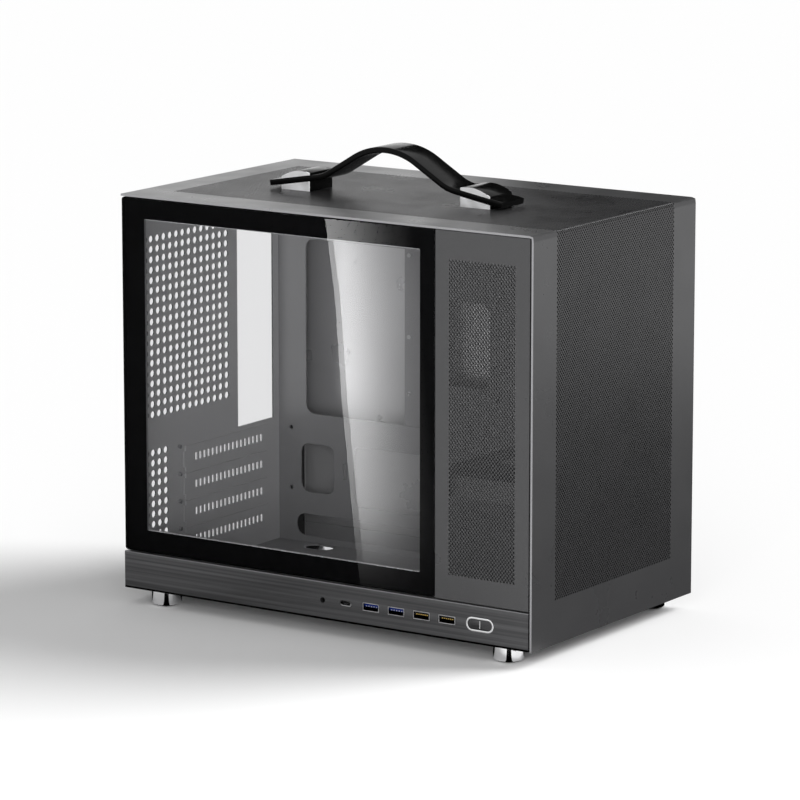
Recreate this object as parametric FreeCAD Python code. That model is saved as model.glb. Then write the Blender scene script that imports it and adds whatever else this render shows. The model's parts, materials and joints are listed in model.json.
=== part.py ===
import FreeCAD, Part
import math
import os
from FreeCAD import Vector

os.makedirs("parts", exist_ok=True)

# All lengths are in millimetres. The frame stands on the floor: X runs from the rear panel to the
# front, Y from the glass side to the closed side, and Z up. Distances called "along" are measured
# from the rear face, and heights called "height" are measured from the underside of the body.

# Holes of a small board, whose place sizes the case
board_hole_rear_along = 12.2
board_hole_middle_step = 154.94
board_hole_front_step = 227.33
board_hole_low_height = 41.3
board_hole_row_step = 45.72
board_hole_top_step = 157.48
board_hole_radius = 1.6

# Driving sizes of the body, with the room it leaves round the board
tray_front_margin = 17.47
front_bay_length = 88.0
head_room = 40.5
body_width = 212.0
foot_height = 11.0
cover_sheet = 1.5
steel_sheet = 1.0
mesh_panel_sheet = 1.2
glass_thickness = 4.0
panel_seam = 1.2
glass_seam = 0.7
top_seam = 0.5
fit_gap = 0.3
cut_reach = 1.0
fold_radius = 1.4
flange_width = 13.0

# Flats of small round pieces, and the straight steps of a round corner
hex_sides = 6
small_sides = 8
pad_sides = 12
foot_sides = 20
corner_steps = 3
corner_share = 0.96
nearness = 0.01

# Glass panel and the opening behind it
glass_rear_along = 0.5
glass_front_overlap = 9.0
glass_corner = 2.0
border_rear = 17.0
border_front = 14.5
border_low = 15.0
border_high = 14.6
frame_lip = 0.7
chamber_margin = 6.0
strip_sheet = 0.8
strip_width = 12.0

# Bottom bar and its ports, placed from the front end backwards
bar_height = 27.0
bar_wall = 2.5
bar_lip = 1.5
bar_edge_radius = 0.6
port_height = 13.8
button_front_margin = 41.8
usb_button_step = 26.9
usb_pitch = 21.0
usb_count = 4
jack_step = 19.5
jack_bore_radius = 1.75
jack_body_size = 6.4
jack_body_depth = 12.0
blind_wall = 1.5
usb_width = 13.5
usb_height = 5.7
usb_depth = 14.0
usb_wall = 0.4
usb_c_width = 9.2
usb_c_height = 3.4
board_thickness = 1.6
board_depth = 24.0
board_end_margin = 12.0
pillar_radius = 3.0
pillar_inset = 6.0
port_setback = 0.2
tongue_setback = 1.2
usb_tongue_height = 1.9
usb_tongue_drop = 0.45
usb_tongue_margin = 0.5
usb_c_depth = 9.0
usb_c_tongue_margin = 1.3

# Power button
button_width = 22.5
button_height = 10.0
button_ring_wall = 1.4
button_travel = 1.2
button_gap = 0.3
switch_size = 6.0
switch_setback = 3.0
plunger_radius = 1.7

# Perforated fields of the cover and of the mesh panel
cover_field_side_margin = 29.0
cover_field_front_height = 30.0
cover_field_rear_along = 23.5
cover_gap_pitch = 16.0
cover_gap_width = 8.0
fold_margin = 6.0
cover_lip = 9.0
front_bar_half = 8.0
mesh_panel_margin = 10.5
mesh_field_low = 45.0
mesh_field_top_margin = 20.5
mesh_gap_pitch = 16.0
mesh_gap_width = 8.0

# Openings in the floor
floor_hole_rear_along = 32.0
floor_hole_length = 23.5
floor_hole_width = 14.5
floor_hole_tray_gap = 2.5
floor_slot_rear_along = 88.5
floor_slot_length = 10.5
floor_slot_width = 2.2
floor_slot_step = 7.2
floor_slot_tray_gap = 30.3
exhaust_rear_margin = 11.0
exhaust_front_margin = 13.0
exhaust_near_margin = 40.0
exhaust_far_margin = 46.0
port_clearance = 0.8

# Rear panel
vent_pitch = 7.5
vent_radius = 2.6
vents_per_slot = 3
vent_near_margin = 26.2
vent_far_margin = 10.0
vent_low_height = 120.6
vent_top_margin = 34.0
low_vent_top_height = 92.5
low_vent_margin = 14.0
low_vent_far_margin = 8.0
fan_screw_radius = 2.2
io_width = 44.45
io_height = 158.75
io_tray_gap = 7.35
io_slot_gap = 12.6
slot_pitch = 20.32
slot_count = 4
slot_low_height = 20.84
slot_bar_height = 7.32
slot_opening_width = 88.0
slot_tray_gap = 21.0
slot_cover_gap = 1.72
slot_cover_near_lap = 8.6
slot_cover_far_lap = 5.0
slot_vent_pitch = 5.05
slot_vent_width = 2.2
slot_vent_height = 5.4
slot_vent_margin = 4.0
slot_screw_reach = 16.0
slot_screw_lift = 0.14
slot_tab_reach = 9.8
slot_tab_width = 10.7
slot_slit_margin = 8.32
slot_ear_rise = 4.0
light_slit_reach = 1.5
light_slit_length = 54.5
light_slit_width = 1.2
screw_head_radius = 3.4
screw_head_height = 2.0
screw_radius = 1.6
screw_tip = 2.2

# Motherboard tray
tray_closed_gap = 23.0
opening_corner = 7.0
cooler_opening_rear_along = 25.8
cooler_opening_front_margin = 24.53
cooler_opening_low_height = 99.2
cooler_opening_top_margin = 14.0
cable_hole_along = (21.1, 51.0)
cable_hole_height = (39.3, 76.4)
side_hole_rear_along = 68.8
side_hole_board_margin = 17.14
side_hole_height = (33.0, 78.8)
low_hole_rear_along = 17.1
low_hole_board_margin = 15.14
low_hole_height = (5.8, 22.6)
tie_slot_along = 60.1
tie_slot_height = 58.3
tie_slot_width = 2.5
tie_slot_length = 12.0

# Drive bracket behind the tray, placed from the cooler opening
drive_bracket_rear_reach = 102.2
drive_bracket_front_reach = 17.0
drive_bracket_low_reach = 0.4
drive_bracket_high_reach = 7.5
drive_bracket_fold = 10.0
drive_foot = 4.0
drive_hole_along_step = 61.72
drive_hole_height_step = 76.6
drive_hole_radius = 1.6
drive_hole_margin = 7.0
drive_screw_inset = 4.6
drive_screw_rise = 0.8
drive_screw_low_margin = 23.9
drive_screw_step = 42.0
drive_screw_high_margin = 12.1

# Power supply bracket in the front chamber
psu_bracket_height = 113.0
psu_bracket_fold = 14.0
psu_hole_along_step = 51.5
psu_hole_across_step = 113.0
psu_hole_radius = 1.9
psu_opening_along_margin = 7.5
psu_opening_across_margin = 13.0

# Handle
handle_across = -9.7
handle_rear_shift = 3.75
strap_width = 28.5
strap_thickness = 4.2
strap_peak_rise = 32.4
block_length = 24.5
block_low = 3.2
block_high = 7.4
block_inset = 9.4
knee_block_gap = 12.2
handle_bar_half = 15.0
top_opening_margin = 5.0
seat_margin = 2.0
crown_angle = 31.0
crown_radius = 48.0
knee_radius = 30.0
cap_crown = 2.6
cap_thickness = 1.6

# Feet
foot_radius = 10.7
foot_rear_along = 27.5
foot_front_margin = 26.5
foot_inset = 13.0
foot_chamfer = 0.8
pad_radius = 8.0
pad_thickness = 1.0

# Panel studs and their clips
stud_radius = 1.5
stud_ball_radius = 2.4
clip_size = 10.0
clip_depth = 4.5
clip_gap = 0.25
stud_inset = 8.0
glass_stud_low_height = 60.0
side_stud_low_height = 40.0
stud_top_margin = 35.0
glass_stud_length = 8.0
side_stud_length = 13.0
stud_nose_length = 4.0

# Derived places of the body
tray_length = board_hole_rear_along + board_hole_front_step + tray_front_margin
body_length = tray_length + front_bay_length
board_top_row = board_hole_low_height + board_hole_row_step + board_hole_top_step
body_height = board_top_row + head_room
rear_overhang = steel_sheet + screw_head_height
rear_x = -(body_length + rear_overhang) / 2 + rear_overhang
front_x = rear_x + body_length
glass_y = -body_width / 2
closed_y = body_width / 2
tray_across = closed_y - tray_closed_gap
bottom_z = foot_height
top_z = bottom_z + body_height
cover_under_z = top_z - cover_sheet
cover_back_x = front_x - cover_sheet
base_top_height = steel_sheet
frame_y = glass_y + glass_thickness + strip_sheet + fit_gap
flange_y = frame_y + steel_sheet
closed_flange_y = closed_y - steel_sheet - flange_width / 2
panel_low_height = bar_height + panel_seam
panel_high_height = body_height - cover_sheet - top_seam
chassis_high_height = body_height - cover_sheet
cover_field_half_width = body_width / 2 - cover_field_side_margin
mesh_field_high = body_height - mesh_field_top_margin
glass_stud_heights = (glass_stud_low_height, body_height - stud_top_margin)
side_stud_heights = (side_stud_low_height, body_height - stud_top_margin)

# Derived places of the ports
button_along = body_length - button_front_margin
usb_first_along = button_along - usb_button_step - (usb_count - 1) * usb_pitch
usb_c_along = usb_first_along - usb_pitch
jack_along = usb_c_along - jack_step

# Derived places on the floor and the rear panel
floor_hole_high_across = tray_across - floor_hole_tray_gap
floor_slot_across = (tray_across - floor_slot_tray_gap - floor_slot_step, tray_across - floor_slot_tray_gap)
io_high_across = tray_across - io_tray_gap
slot_high_across = tray_across - slot_tray_gap
slot_low_across = slot_high_across - slot_opening_width
slot_cover_height = slot_pitch - slot_cover_gap
slot_opening_height = slot_pitch - slot_bar_height
slot_slit_height = slot_pitch - slot_slit_margin
slot_screw_rise = slot_pitch / 2 + slot_screw_lift
slot_first_height = slot_low_height + (slot_count - 1) * slot_pitch
io_low_height = slot_first_height + io_slot_gap
slot_screw_across = slot_low_across - slot_screw_reach
slot_tab_high = slot_low_across - slot_tab_reach
slot_tab_low = slot_tab_high - slot_tab_width
vent_first_across = glass_y + vent_near_margin
vent_width_room = io_high_across - io_width - vent_far_margin - vent_first_across
vent_columns = int(vent_width_room / vent_pitch) + 1
vent_rows = int((body_height - vent_top_margin - vent_low_height) / vent_pitch) + 1
low_vent_room = slot_tab_low - low_vent_far_margin - vent_first_across
low_vent_columns = max(0, int(low_vent_room / vent_pitch) + 1)
low_vent_rows = int((low_vent_top_height - low_vent_margin) / vent_pitch) + 1
fan_screw_spacing = vent_columns * vent_pitch
slot_vent_room = slot_opening_width - slot_vent_margin - slot_vent_width
slot_vent_count = int(slot_vent_room / slot_vent_pitch) + 1

# Derived places of the tray's openings and the drive bracket
board_middle_column = board_hole_rear_along + board_hole_middle_step
board_front_column = board_hole_rear_along + board_hole_front_step
cooler_opening_along = (cooler_opening_rear_along, board_front_column - cooler_opening_front_margin)
cooler_opening_height = (cooler_opening_low_height, board_top_row - cooler_opening_top_margin)
side_hole_along = (side_hole_rear_along, board_middle_column - side_hole_board_margin)
low_hole_along = (low_hole_rear_along, board_middle_column - low_hole_board_margin)
drive_rear_along = cooler_opening_along[1] - drive_bracket_rear_reach
drive_front_along = cooler_opening_along[1] + drive_bracket_front_reach
drive_low_height = cooler_opening_low_height + drive_bracket_low_reach
drive_high_height = cooler_opening_height[1] + drive_bracket_high_reach
drive_screw_low = drive_low_height + drive_screw_low_margin
drive_screw_heights = (drive_screw_low, drive_screw_low + drive_screw_step,
                       drive_high_height - drive_screw_high_margin)


def along(distance):
    return rear_x + distance


def level(height):
    return bottom_z + height


def alongs(span):
    return (along(span[0]), along(span[1]))


def levels(span):
    return (level(span[0]), level(span[1]))


def past(low, high):
    # The span of a cut that runs clear of both faces.
    return (low - cut_reach, high + cut_reach)


def point(axis, place, first, second):
    # A point given by its place along the axis and its two other coordinates in X, Y, Z order.
    if axis == "X":
        return Vector(place, first, second)
    if axis == "Y":
        return Vector(first, place, second)
    return Vector(first, second, place)


def box(x_span, y_span, z_span):
    low = Vector(x_span[0], y_span[0], z_span[0])
    return Part.makeBox(x_span[1] - x_span[0], y_span[1] - y_span[0], z_span[1] - z_span[0], low)


def prism(axis, outline, span):
    corners = [point(axis, span[0], first, second) for first, second in outline]
    face = Part.Face(Part.makePolygon(corners + corners[:1]))
    return face.extrude(point(axis, span[1] - span[0], 0, 0))


def regular_prism(axis, centre, radius, sides, span):
    angles = [2 * math.pi * index / sides for index in range(sides)]
    outline = [(centre[0] + radius * math.cos(angle), centre[1] + radius * math.sin(angle))
               for angle in angles]
    return prism(axis, outline, span)


def cylinder(axis, centre, radius, span):
    base = point(axis, span[0], centre[0], centre[1])
    return Part.makeCylinder(radius, span[1] - span[0], base, point(axis, 1, 0, 0))


def rounded_prism(axis, first_span, second_span, radius, span):
    # A rectangle whose round corners are cut in straight steps, carried along the axis.
    low_a, high_a = first_span
    low_b, high_b = second_span
    radius = min(radius, corner_share * (high_a - low_a) / 2, corner_share * (high_b - low_b) / 2)
    centres = [(high_a - radius, high_b - radius), (low_a + radius, high_b - radius),
               (low_a + radius, low_b + radius), (high_a - radius, low_b + radius)]
    outline = []
    for quarter, (first, second) in enumerate(centres):
        for step in range(corner_steps + 1):
            angle = (quarter + step / corner_steps) * math.pi / 2
            outline.append((first + radius * math.cos(angle), second + radius * math.sin(angle)))
    return prism(axis, outline, span)


def centred(centre, size):
    return (centre - size / 2, centre + size / 2)


def fused(pieces):
    return pieces[0].multiFuse(pieces[1:]).removeSplitter()


def cut_all(shape, tools):
    return shape.cut(Part.makeCompound(tools))


def bend_edges(shape, axis, places, radius):
    # Rounds the long edges of a folded sheet that run along the axis through the given places.
    chosen = []
    for edge in shape.Edges:
        start, end = edge.Vertexes[0].Point, edge.Vertexes[-1].Point
        step = end - start
        direction = point(axis, 1, 0, 0)
        if abs(abs(step.dot(direction)) - step.Length) > nearness:
            continue
        for first, second in places:
            place = point(axis, start.dot(direction), first, second)
            if place.distanceToPoint(start) < nearness:
                chosen.append(edge)
    return shape.makeFillet(radius, chosen)


def pin_hole(axis, centre, radius, span):
    # A small hole for a stud or a screw, with flat facets that clear the given radius.
    return regular_prism(axis, centre, radius / math.cos(math.pi / small_sides), small_sides, span)


def save(name, shape):
    pieces = shape if isinstance(shape, list) else [shape]
    result = pieces[0] if len(pieces) == 1 else Part.makeCompound(pieces)
    if not result.isValid():
        raise RuntimeError("invalid solid: " + name)
    result.exportStep("parts/" + name + ".step")


# Base pan: a folded tray with side flanges, foot seats, a cable hole and tie slots in its floor
def base_pan():
    front = front_x - cover_lip - fit_gap
    low, high = level(0.0), level(base_top_height)
    side_high = level(window_height()[0])
    outline = [
        (flange_y, side_high),
        (flange_y, low),
        (closed_flange_y, low),
        (closed_flange_y, level(flange_width)),
        (closed_flange_y - steel_sheet, level(flange_width)),
        (closed_flange_y - steel_sheet, high),
        (flange_y + steel_sheet, high),
        (flange_y + steel_sheet, side_high),
    ]
    pan = prism("X", outline, (along(steel_sheet + flange_width + fit_gap), front))
    pan = bend_edges(pan, "X", [(flange_y, low), (closed_flange_y, low)], fold_radius)
    rear_floor = box((along(steel_sheet), along(steel_sheet + flange_width + fit_gap)),
                     (flange_y + steel_sheet, closed_flange_y - steel_sheet), (low, high))
    pan = fused([pan, rear_floor])
    through = past(low, high)
    holes = [
        rounded_prism("Z", alongs((floor_hole_rear_along, floor_hole_rear_along + floor_hole_length)),
                      (floor_hole_high_across - floor_hole_width, floor_hole_high_across),
                      opening_corner, through),
        rounded_prism("Z", alongs((tray_length + exhaust_rear_margin, body_length - exhaust_front_margin)),
                      (glass_y + exhaust_near_margin, closed_y - exhaust_far_margin),
                      opening_corner, through),
    ]
    for across in floor_slot_across:
        holes.append(box(alongs((floor_slot_rear_along, floor_slot_rear_along + floor_slot_length)),
                         centred(across, floor_slot_width), through))
    return cut_all(pan, holes + port_holes())


def port_holes():
    # Clearance holes in the side flange for what passes from the board to the bar.
    sizes = [(jack_along, jack_body_size), (usb_c_along, usb_c_width), (button_along, 2 * plunger_radius)]
    sizes += [(usb_along(index), usb_width) for index in range(usb_count)]
    height = levels(centred(port_height, usb_height + 2 * port_clearance))
    span = past(flange_y, flange_y + steel_sheet)
    return [box(alongs(centred(place, size + 2 * port_clearance)), span, height) for place, size in sizes]


# Rear panel: vents, input and output aperture, card slots and folded side flanges
def vent_slot(column, rows, low_height, span):
    # One upright slot in place of the round vents of its rows, with the same open area.
    height = (rows - 1) * vent_pitch + 2 * vent_radius
    width = rows * math.pi * vent_radius ** 2 / height
    low = level(low_height - vent_radius)
    return box(span, centred(vent_first_across + column * vent_pitch, width), (low, low + height))


def vent_slots(low_height, columns, rows, span):
    slots = []
    for column in range(columns):
        for row in range(0, rows, vents_per_slot):
            joined = min(vents_per_slot, rows - row)
            slots.append(vent_slot(column, joined, low_height + row * vent_pitch, span))
    return slots


def slot_height(index):
    return slot_first_height - index * slot_pitch


def rear_panel():
    outer, inner = along(0.0), along(steel_sheet)
    low, high = level(base_top_height), level(chassis_high_height - steel_sheet)
    fold_end = inner + flange_width
    outline = [
        (fold_end, flange_y),
        (outer, flange_y),
        (outer, closed_flange_y),
        (fold_end, closed_flange_y),
        (fold_end, closed_flange_y - steel_sheet),
        (inner, closed_flange_y - steel_sheet),
        (inner, flange_y + steel_sheet),
        (fold_end, flange_y + steel_sheet),
    ]
    panel = prism("Z", outline, (low, high))
    panel = bend_edges(panel, "Z", [(outer, flange_y), (outer, closed_flange_y)], fold_radius)
    span = past(outer, inner)
    fan_across = vent_first_across + (vent_columns - 1) * vent_pitch / 2
    fan_height = vent_low_height + (vent_rows - 1) * vent_pitch / 2
    low_vent_first = low_vent_top_height - (low_vent_rows - 1) * vent_pitch
    tools = vent_slots(vent_low_height, vent_columns, vent_rows, span)
    tools += vent_slots(low_vent_first, low_vent_columns, low_vent_rows, span)
    reach = fan_screw_spacing / 2
    for side in (-1, 1):
        for end in (-1, 1):
            centre = (fan_across + side * reach, level(fan_height + end * reach))
            tools.append(cylinder("X", centre, fan_screw_radius, span))
    tools.append(box(span, (io_high_across - io_width, io_high_across),
                     levels((io_low_height, io_low_height + io_height))))
    for index in range(slot_count):
        height = slot_height(index)
        tools.append(box(span, (slot_low_across, slot_high_across),
                         levels(centred(height, slot_opening_height))))
        tools.append(box(span, (slot_tab_high - steel_sheet - fit_gap, slot_tab_high + fit_gap),
                         levels(centred(height, slot_slit_height + 2 * fit_gap))))
        centre = (slot_screw_across, level(height + slot_screw_rise))
        tools.append(pin_hole("X", centre, screw_radius + fit_gap, span))
    slit_height = slot_first_height + slot_cover_height / 2 - light_slit_width
    slit_low = slot_low_across - light_slit_reach
    tools.append(box(span, (slit_low, slit_low + light_slit_length),
                     levels(centred(slit_height, light_slit_width))))
    flanges = ((flange_y, flange_y + steel_sheet, glass_stud_heights),
               (closed_flange_y - steel_sheet, closed_flange_y, side_stud_heights))
    for low_y, high_y, heights in flanges:
        for height in heights:
            centre = (along(stud_inset), level(height))
            tools.append(pin_hole("Y", centre, clip_hole_radius(), past(low_y, high_y)))
    return cut_all(panel, tools)


def slot_cover(index):
    inner = along(steel_sheet)
    height = slot_height(index)
    z_span = levels(centred(height, slot_cover_height))
    cover_low = slot_low_across - slot_cover_near_lap
    plate = box((inner, inner + steel_sheet), (cover_low, slot_high_across + slot_cover_far_lap), z_span)
    neck = box((along(-steel_sheet), inner + steel_sheet), (slot_tab_high - steel_sheet, slot_tab_high),
               levels(centred(height, slot_slit_height)))
    bridge = box((inner, inner + steel_sheet), (slot_tab_high - steel_sheet, cover_low),
                 levels(centred(height, slot_slit_height)))
    ear_low = height - slot_slit_height / 2
    ear = box((along(-steel_sheet), along(0.0)), (slot_tab_low, slot_tab_high),
              levels((ear_low, height + slot_screw_rise + slot_ear_rise)))
    cover = fused([plate, neck, bridge, ear])
    span = past(along(-steel_sheet), inner + steel_sheet)
    tools = []
    for vent in range(slot_vent_count):
        across = slot_low_across + slot_vent_margin + vent * slot_vent_pitch
        tools.append(box(span, centred(across, slot_vent_width),
                         levels(centred(height, slot_vent_height))))
    screw_place = (slot_screw_across, level(height + slot_screw_rise))
    tools.append(pin_hole("X", screw_place, screw_radius + fit_gap, span))
    return cut_all(cover, tools)


def slot_screws():
    screws = []
    for index in range(slot_count):
        centre = (slot_screw_across, level(slot_height(index) + slot_screw_rise))
        head = regular_prism("X", centre, screw_head_radius, hex_sides,
                             (along(-rear_overhang), along(-steel_sheet)))
        shank = regular_prism("X", centre, screw_radius, small_sides,
                              (along(-steel_sheet), along(steel_sheet + screw_tip)))
        screws.append(fused([head, shank]))
    return screws


# Tray for the motherboard, folded at its front and rear edges
def board_hole_places():
    middle_row = board_hole_low_height + board_hole_row_step
    places = [(column, row) for column in (board_hole_rear_along, board_middle_column)
              for row in (board_hole_low_height, middle_row)]
    places += [(board_front_column, middle_row), (board_middle_column, board_top_row),
               (board_front_column, board_top_row)]
    return places


def motherboard_tray():
    rear, front = along(steel_sheet), along(tray_length)
    back = tray_across + steel_sheet
    fold_back = closed_flange_y - steel_sheet - fit_gap
    outline = [
        (rear, tray_across),
        (front, tray_across),
        (front, fold_back),
        (front - steel_sheet, fold_back),
        (front - steel_sheet, back),
        (rear + steel_sheet, back),
        (rear + steel_sheet, fold_back),
        (rear, fold_back),
    ]
    tray = prism("Z", outline, (level(base_top_height), level(chassis_high_height - steel_sheet)))
    tray = bend_edges(tray, "Z", [(front, tray_across)], fold_radius)
    span = past(tray_across, back)

    def opening(along_span, height_span):
        return rounded_prism("Y", alongs(along_span),
                             levels(height_span), opening_corner, span)

    tools = [
        opening(cooler_opening_along, cooler_opening_height),
        opening(cable_hole_along, cable_hole_height),
        opening(side_hole_along, side_hole_height),
        opening(low_hole_along, low_hole_height),
        box(alongs(centred(tie_slot_along, tie_slot_width)), span,
            levels(centred(tie_slot_height, tie_slot_length))),
    ]
    for place in board_hole_places():
        tools.append(cylinder("Y", (along(place[0]), level(place[1])), board_hole_radius, span))
    return cut_all(tray, tools)


def drive_bracket():
    back = tray_across + steel_sheet
    rear, front = alongs((drive_rear_along, drive_front_along))
    low, high = levels((drive_low_height, drive_high_height))
    deep = back + drive_bracket_fold
    outline = [
        (rear, back),
        (front, back),
        (front, deep),
        (front - steel_sheet, deep),
        (front - steel_sheet, back + steel_sheet),
        (rear + steel_sheet, back + steel_sheet),
        (rear + steel_sheet, deep),
        (rear, deep),
    ]
    channel = prism("Z", outline, (low, high))
    channel = bend_edges(channel, "Z", [(rear, back), (front, back)], fold_radius)
    foot_low = box((rear - drive_foot, front + drive_foot), (back, back + steel_sheet),
                   (low - drive_foot, low))
    foot_high = box((rear - drive_foot, front + drive_foot), (back, back + steel_sheet),
                    (high, high + drive_foot))
    bracket = fused([channel, foot_low, foot_high])
    span = past(back, back + steel_sheet)
    centre_along = (drive_rear_along + cooler_opening_along[1]) / 2
    centre_height = (cooler_opening_height[0] + cooler_opening_height[1]) / 2
    tools = []
    for side in (-1, 1):
        for end in (-1, 1):
            centre = (along(centre_along + side * drive_hole_along_step / 2),
                      level(centre_height + end * drive_hole_height_step / 2))
            tools.append(cylinder("Y", centre, drive_hole_radius, span))
    length = drive_hole_along_step - 2 * drive_hole_margin
    height = drive_hole_height_step - 2 * drive_hole_margin
    tools.append(rounded_prism("Y", alongs(centred(centre_along, length)),
                               levels(centred(centre_height, height)), opening_corner, span))
    return cut_all(bracket, tools)


def drive_bracket_screws():
    back = tray_across + steel_sheet
    screws = []
    for height in drive_screw_heights:
        centre = (along(drive_rear_along + drive_screw_inset), level(height))
        screws.append(regular_prism("Y", centre, screw_radius, hex_sides, (back - drive_screw_rise, back)))
    return screws


# Side frame behind the glass and the mesh panel, with two openings
def clip_hole_radius():
    return stud_ball_radius + clip_gap


def glass_along():
    return (glass_rear_along, tray_length + glass_front_overlap)


def front_stud_along():
    return glass_along()[1] - border_front / 2


def window_along():
    return (glass_along()[0] + border_rear, glass_along()[1] - border_front)


def window_height():
    return (panel_low_height + border_low, panel_high_height - border_high)


def side_frame():
    x_span = (along(steel_sheet), cover_back_x)
    y_span = (frame_y, flange_y)
    frame = box(x_span, y_span, (level(panel_low_height), level(chassis_high_height)))
    through = past(frame_y, flange_y)
    low, high = window_height()
    rear, front = mesh_panel_along()
    tools = [
        box(alongs(window_along()), through, levels((low + frame_lip, high - frame_lip))),
        box(alongs((rear + chamber_margin, front - chamber_margin)), through,
            levels((mesh_field_low - mesh_panel_sheet, mesh_field_high + mesh_panel_sheet))),
    ]
    for place in (stud_inset, front_stud_along()):
        for height in glass_stud_heights:
            tools.append(pin_hole("Y", (along(place), level(height)), clip_hole_radius(), through))
    return cut_all(frame, tools)


# Top frame with three openings between the bars that carry the handle, and front frame with two
def top_frame():
    high = level(chassis_high_height)
    low = high - steel_sheet
    down = high - flange_width
    x_span = (along(0.0), cover_back_x)
    outline = [
        (flange_y, down),
        (flange_y, high),
        (closed_flange_y, high),
        (closed_flange_y, down),
        (closed_flange_y - steel_sheet, down),
        (closed_flange_y - steel_sheet, low),
        (flange_y + steel_sheet, low),
        (flange_y + steel_sheet, down),
    ]
    plate = box(x_span, (flange_y, closed_flange_y), (low, high))
    channel = prism("X", outline, (along(steel_sheet + flange_width + fit_gap), cover_back_x - flange_width))
    frame = fused([plate, channel])
    through = past(low, high)
    rear_bar, front_bar = handle_end_along(-1), handle_end_along(1)
    half = cover_field_half_width - top_opening_margin
    spans = [
        (cover_field_rear_along, rear_bar - handle_bar_half),
        (rear_bar + handle_bar_half, front_bar - handle_bar_half),
        (front_bar + handle_bar_half, body_length - cover_sheet - flange_width),
    ]
    tools = [rounded_prism("Z", alongs(span), (-half, half), opening_corner, through) for span in spans]
    return cut_all(frame, tools + handle_screw_holes(through))


def front_frame():
    back = cover_back_x - steel_sheet
    reach = cover_back_x - flange_width
    low, high = level(base_top_height), level(chassis_high_height - steel_sheet)
    outline = [
        (reach, flange_y + steel_sheet),
        (cover_back_x, flange_y + steel_sheet),
        (cover_back_x, closed_flange_y - steel_sheet),
        (reach, closed_flange_y - steel_sheet),
        (reach, closed_flange_y - 2 * steel_sheet),
        (back, closed_flange_y - 2 * steel_sheet),
        (back, flange_y + 2 * steel_sheet),
        (reach, flange_y + 2 * steel_sheet),
    ]
    frame = prism("Z", outline, (low, high))
    span = past(back, cover_back_x)
    across = (-cover_field_half_width, cover_field_half_width)
    middle = (cover_field_front_height + chassis_high_height) / 2
    tools = [
        box(span, across, levels((cover_field_front_height, middle - front_bar_half))),
        box(span, across, levels((middle + front_bar_half, chassis_high_height - flange_width))),
    ]
    for height in side_stud_heights:
        tools.append(pin_hole("Y", (cover_back_x - stud_inset, level(height)), clip_hole_radius(),
                              past(closed_flange_y - 2 * steel_sheet, closed_flange_y - steel_sheet)))
    return cut_all(frame, tools)


def psu_bracket():
    rear = along(tray_length) + fit_gap
    front = cover_back_x - steel_sheet - fit_gap
    y_low = flange_y + 2 * steel_sheet + fit_gap
    y_high = closed_flange_y - 2 * steel_sheet - fit_gap
    plate_z = level(psu_bracket_height)
    down = plate_z - psu_bracket_fold
    outline = [
        (flange_y, down),
        (flange_y, plate_z + steel_sheet),
        (y_high, plate_z + steel_sheet),
        (y_high, down),
        (y_high - steel_sheet, down),
        (y_high - steel_sheet, plate_z),
        (flange_y + steel_sheet, plate_z),
        (flange_y + steel_sheet, down),
    ]
    bracket = prism("X", outline, (rear, cover_back_x - flange_width - fit_gap))
    ledge = box((rear, front), (y_low, y_high), (plate_z, plate_z + steel_sheet))
    bracket = fused([bracket, ledge])
    through = past(plate_z, plate_z + steel_sheet)
    centre_x = (along(tray_length) + front) / 2
    opening_length = psu_hole_along_step - psu_opening_along_margin
    opening_width = psu_hole_across_step - psu_opening_across_margin
    tools = [rounded_prism("Z", centred(centre_x, opening_length), centred(0.0, opening_width),
                           opening_corner, through)]
    for side in (-1, 1):
        for end in (-1, 1):
            centre = (centre_x + side * psu_hole_along_step / 2, end * psu_hole_across_step / 2)
            tools.append(cylinder("Z", centre, psu_hole_radius, through))
    return cut_all(bracket, tools)


# Outer skins
def front_top_cover():
    outline = [
        (along(0.0), top_z),
        (front_x, top_z),
        (front_x, level(0.0)),
        (cover_back_x, level(0.0)),
        (cover_back_x, cover_under_z),
        (along(0.0), cover_under_z),
    ]
    cover = prism("Y", outline, (glass_y, closed_y))
    cover = bend_edges(cover, "Y", [(front_x, top_z)], fold_radius)
    lip = box((front_x - cover_lip, cover_back_x), (flange_y, closed_flange_y), levels((0.0, steel_sheet)))
    half = cover_field_half_width
    tools = []
    height = cover_field_front_height + cover_gap_width / 2
    while height < body_height - fold_margin:
        tools.append(box(past(cover_back_x, front_x), (-half, half),
                         levels(centred(height, cover_gap_width))))
        height += cover_gap_pitch
    distance = cover_field_rear_along + cover_gap_width / 2
    while distance < body_length - fold_margin:
        tools.append(box(alongs(centred(distance, cover_gap_width)), (-half, half),
                         past(cover_under_z, top_z)))
        distance += cover_gap_pitch
    seats = []
    for end in (-1, 1):
        centre_along = handle_end_along(end)
        seats.append(box(alongs(centred(centre_along, block_length + 2 * seat_margin)),
                         centred(handle_across, strap_width + 2 * seat_margin), (cover_under_z, top_z)))
    cover = cut_all(cover, tools)
    cover = fused([cover, lip] + seats)
    return cut_all(cover, handle_screw_holes(past(cover_under_z, top_z)))


def mesh_panel_along():
    return (glass_along()[1] + glass_seam, body_length - cover_sheet - panel_seam)


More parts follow.
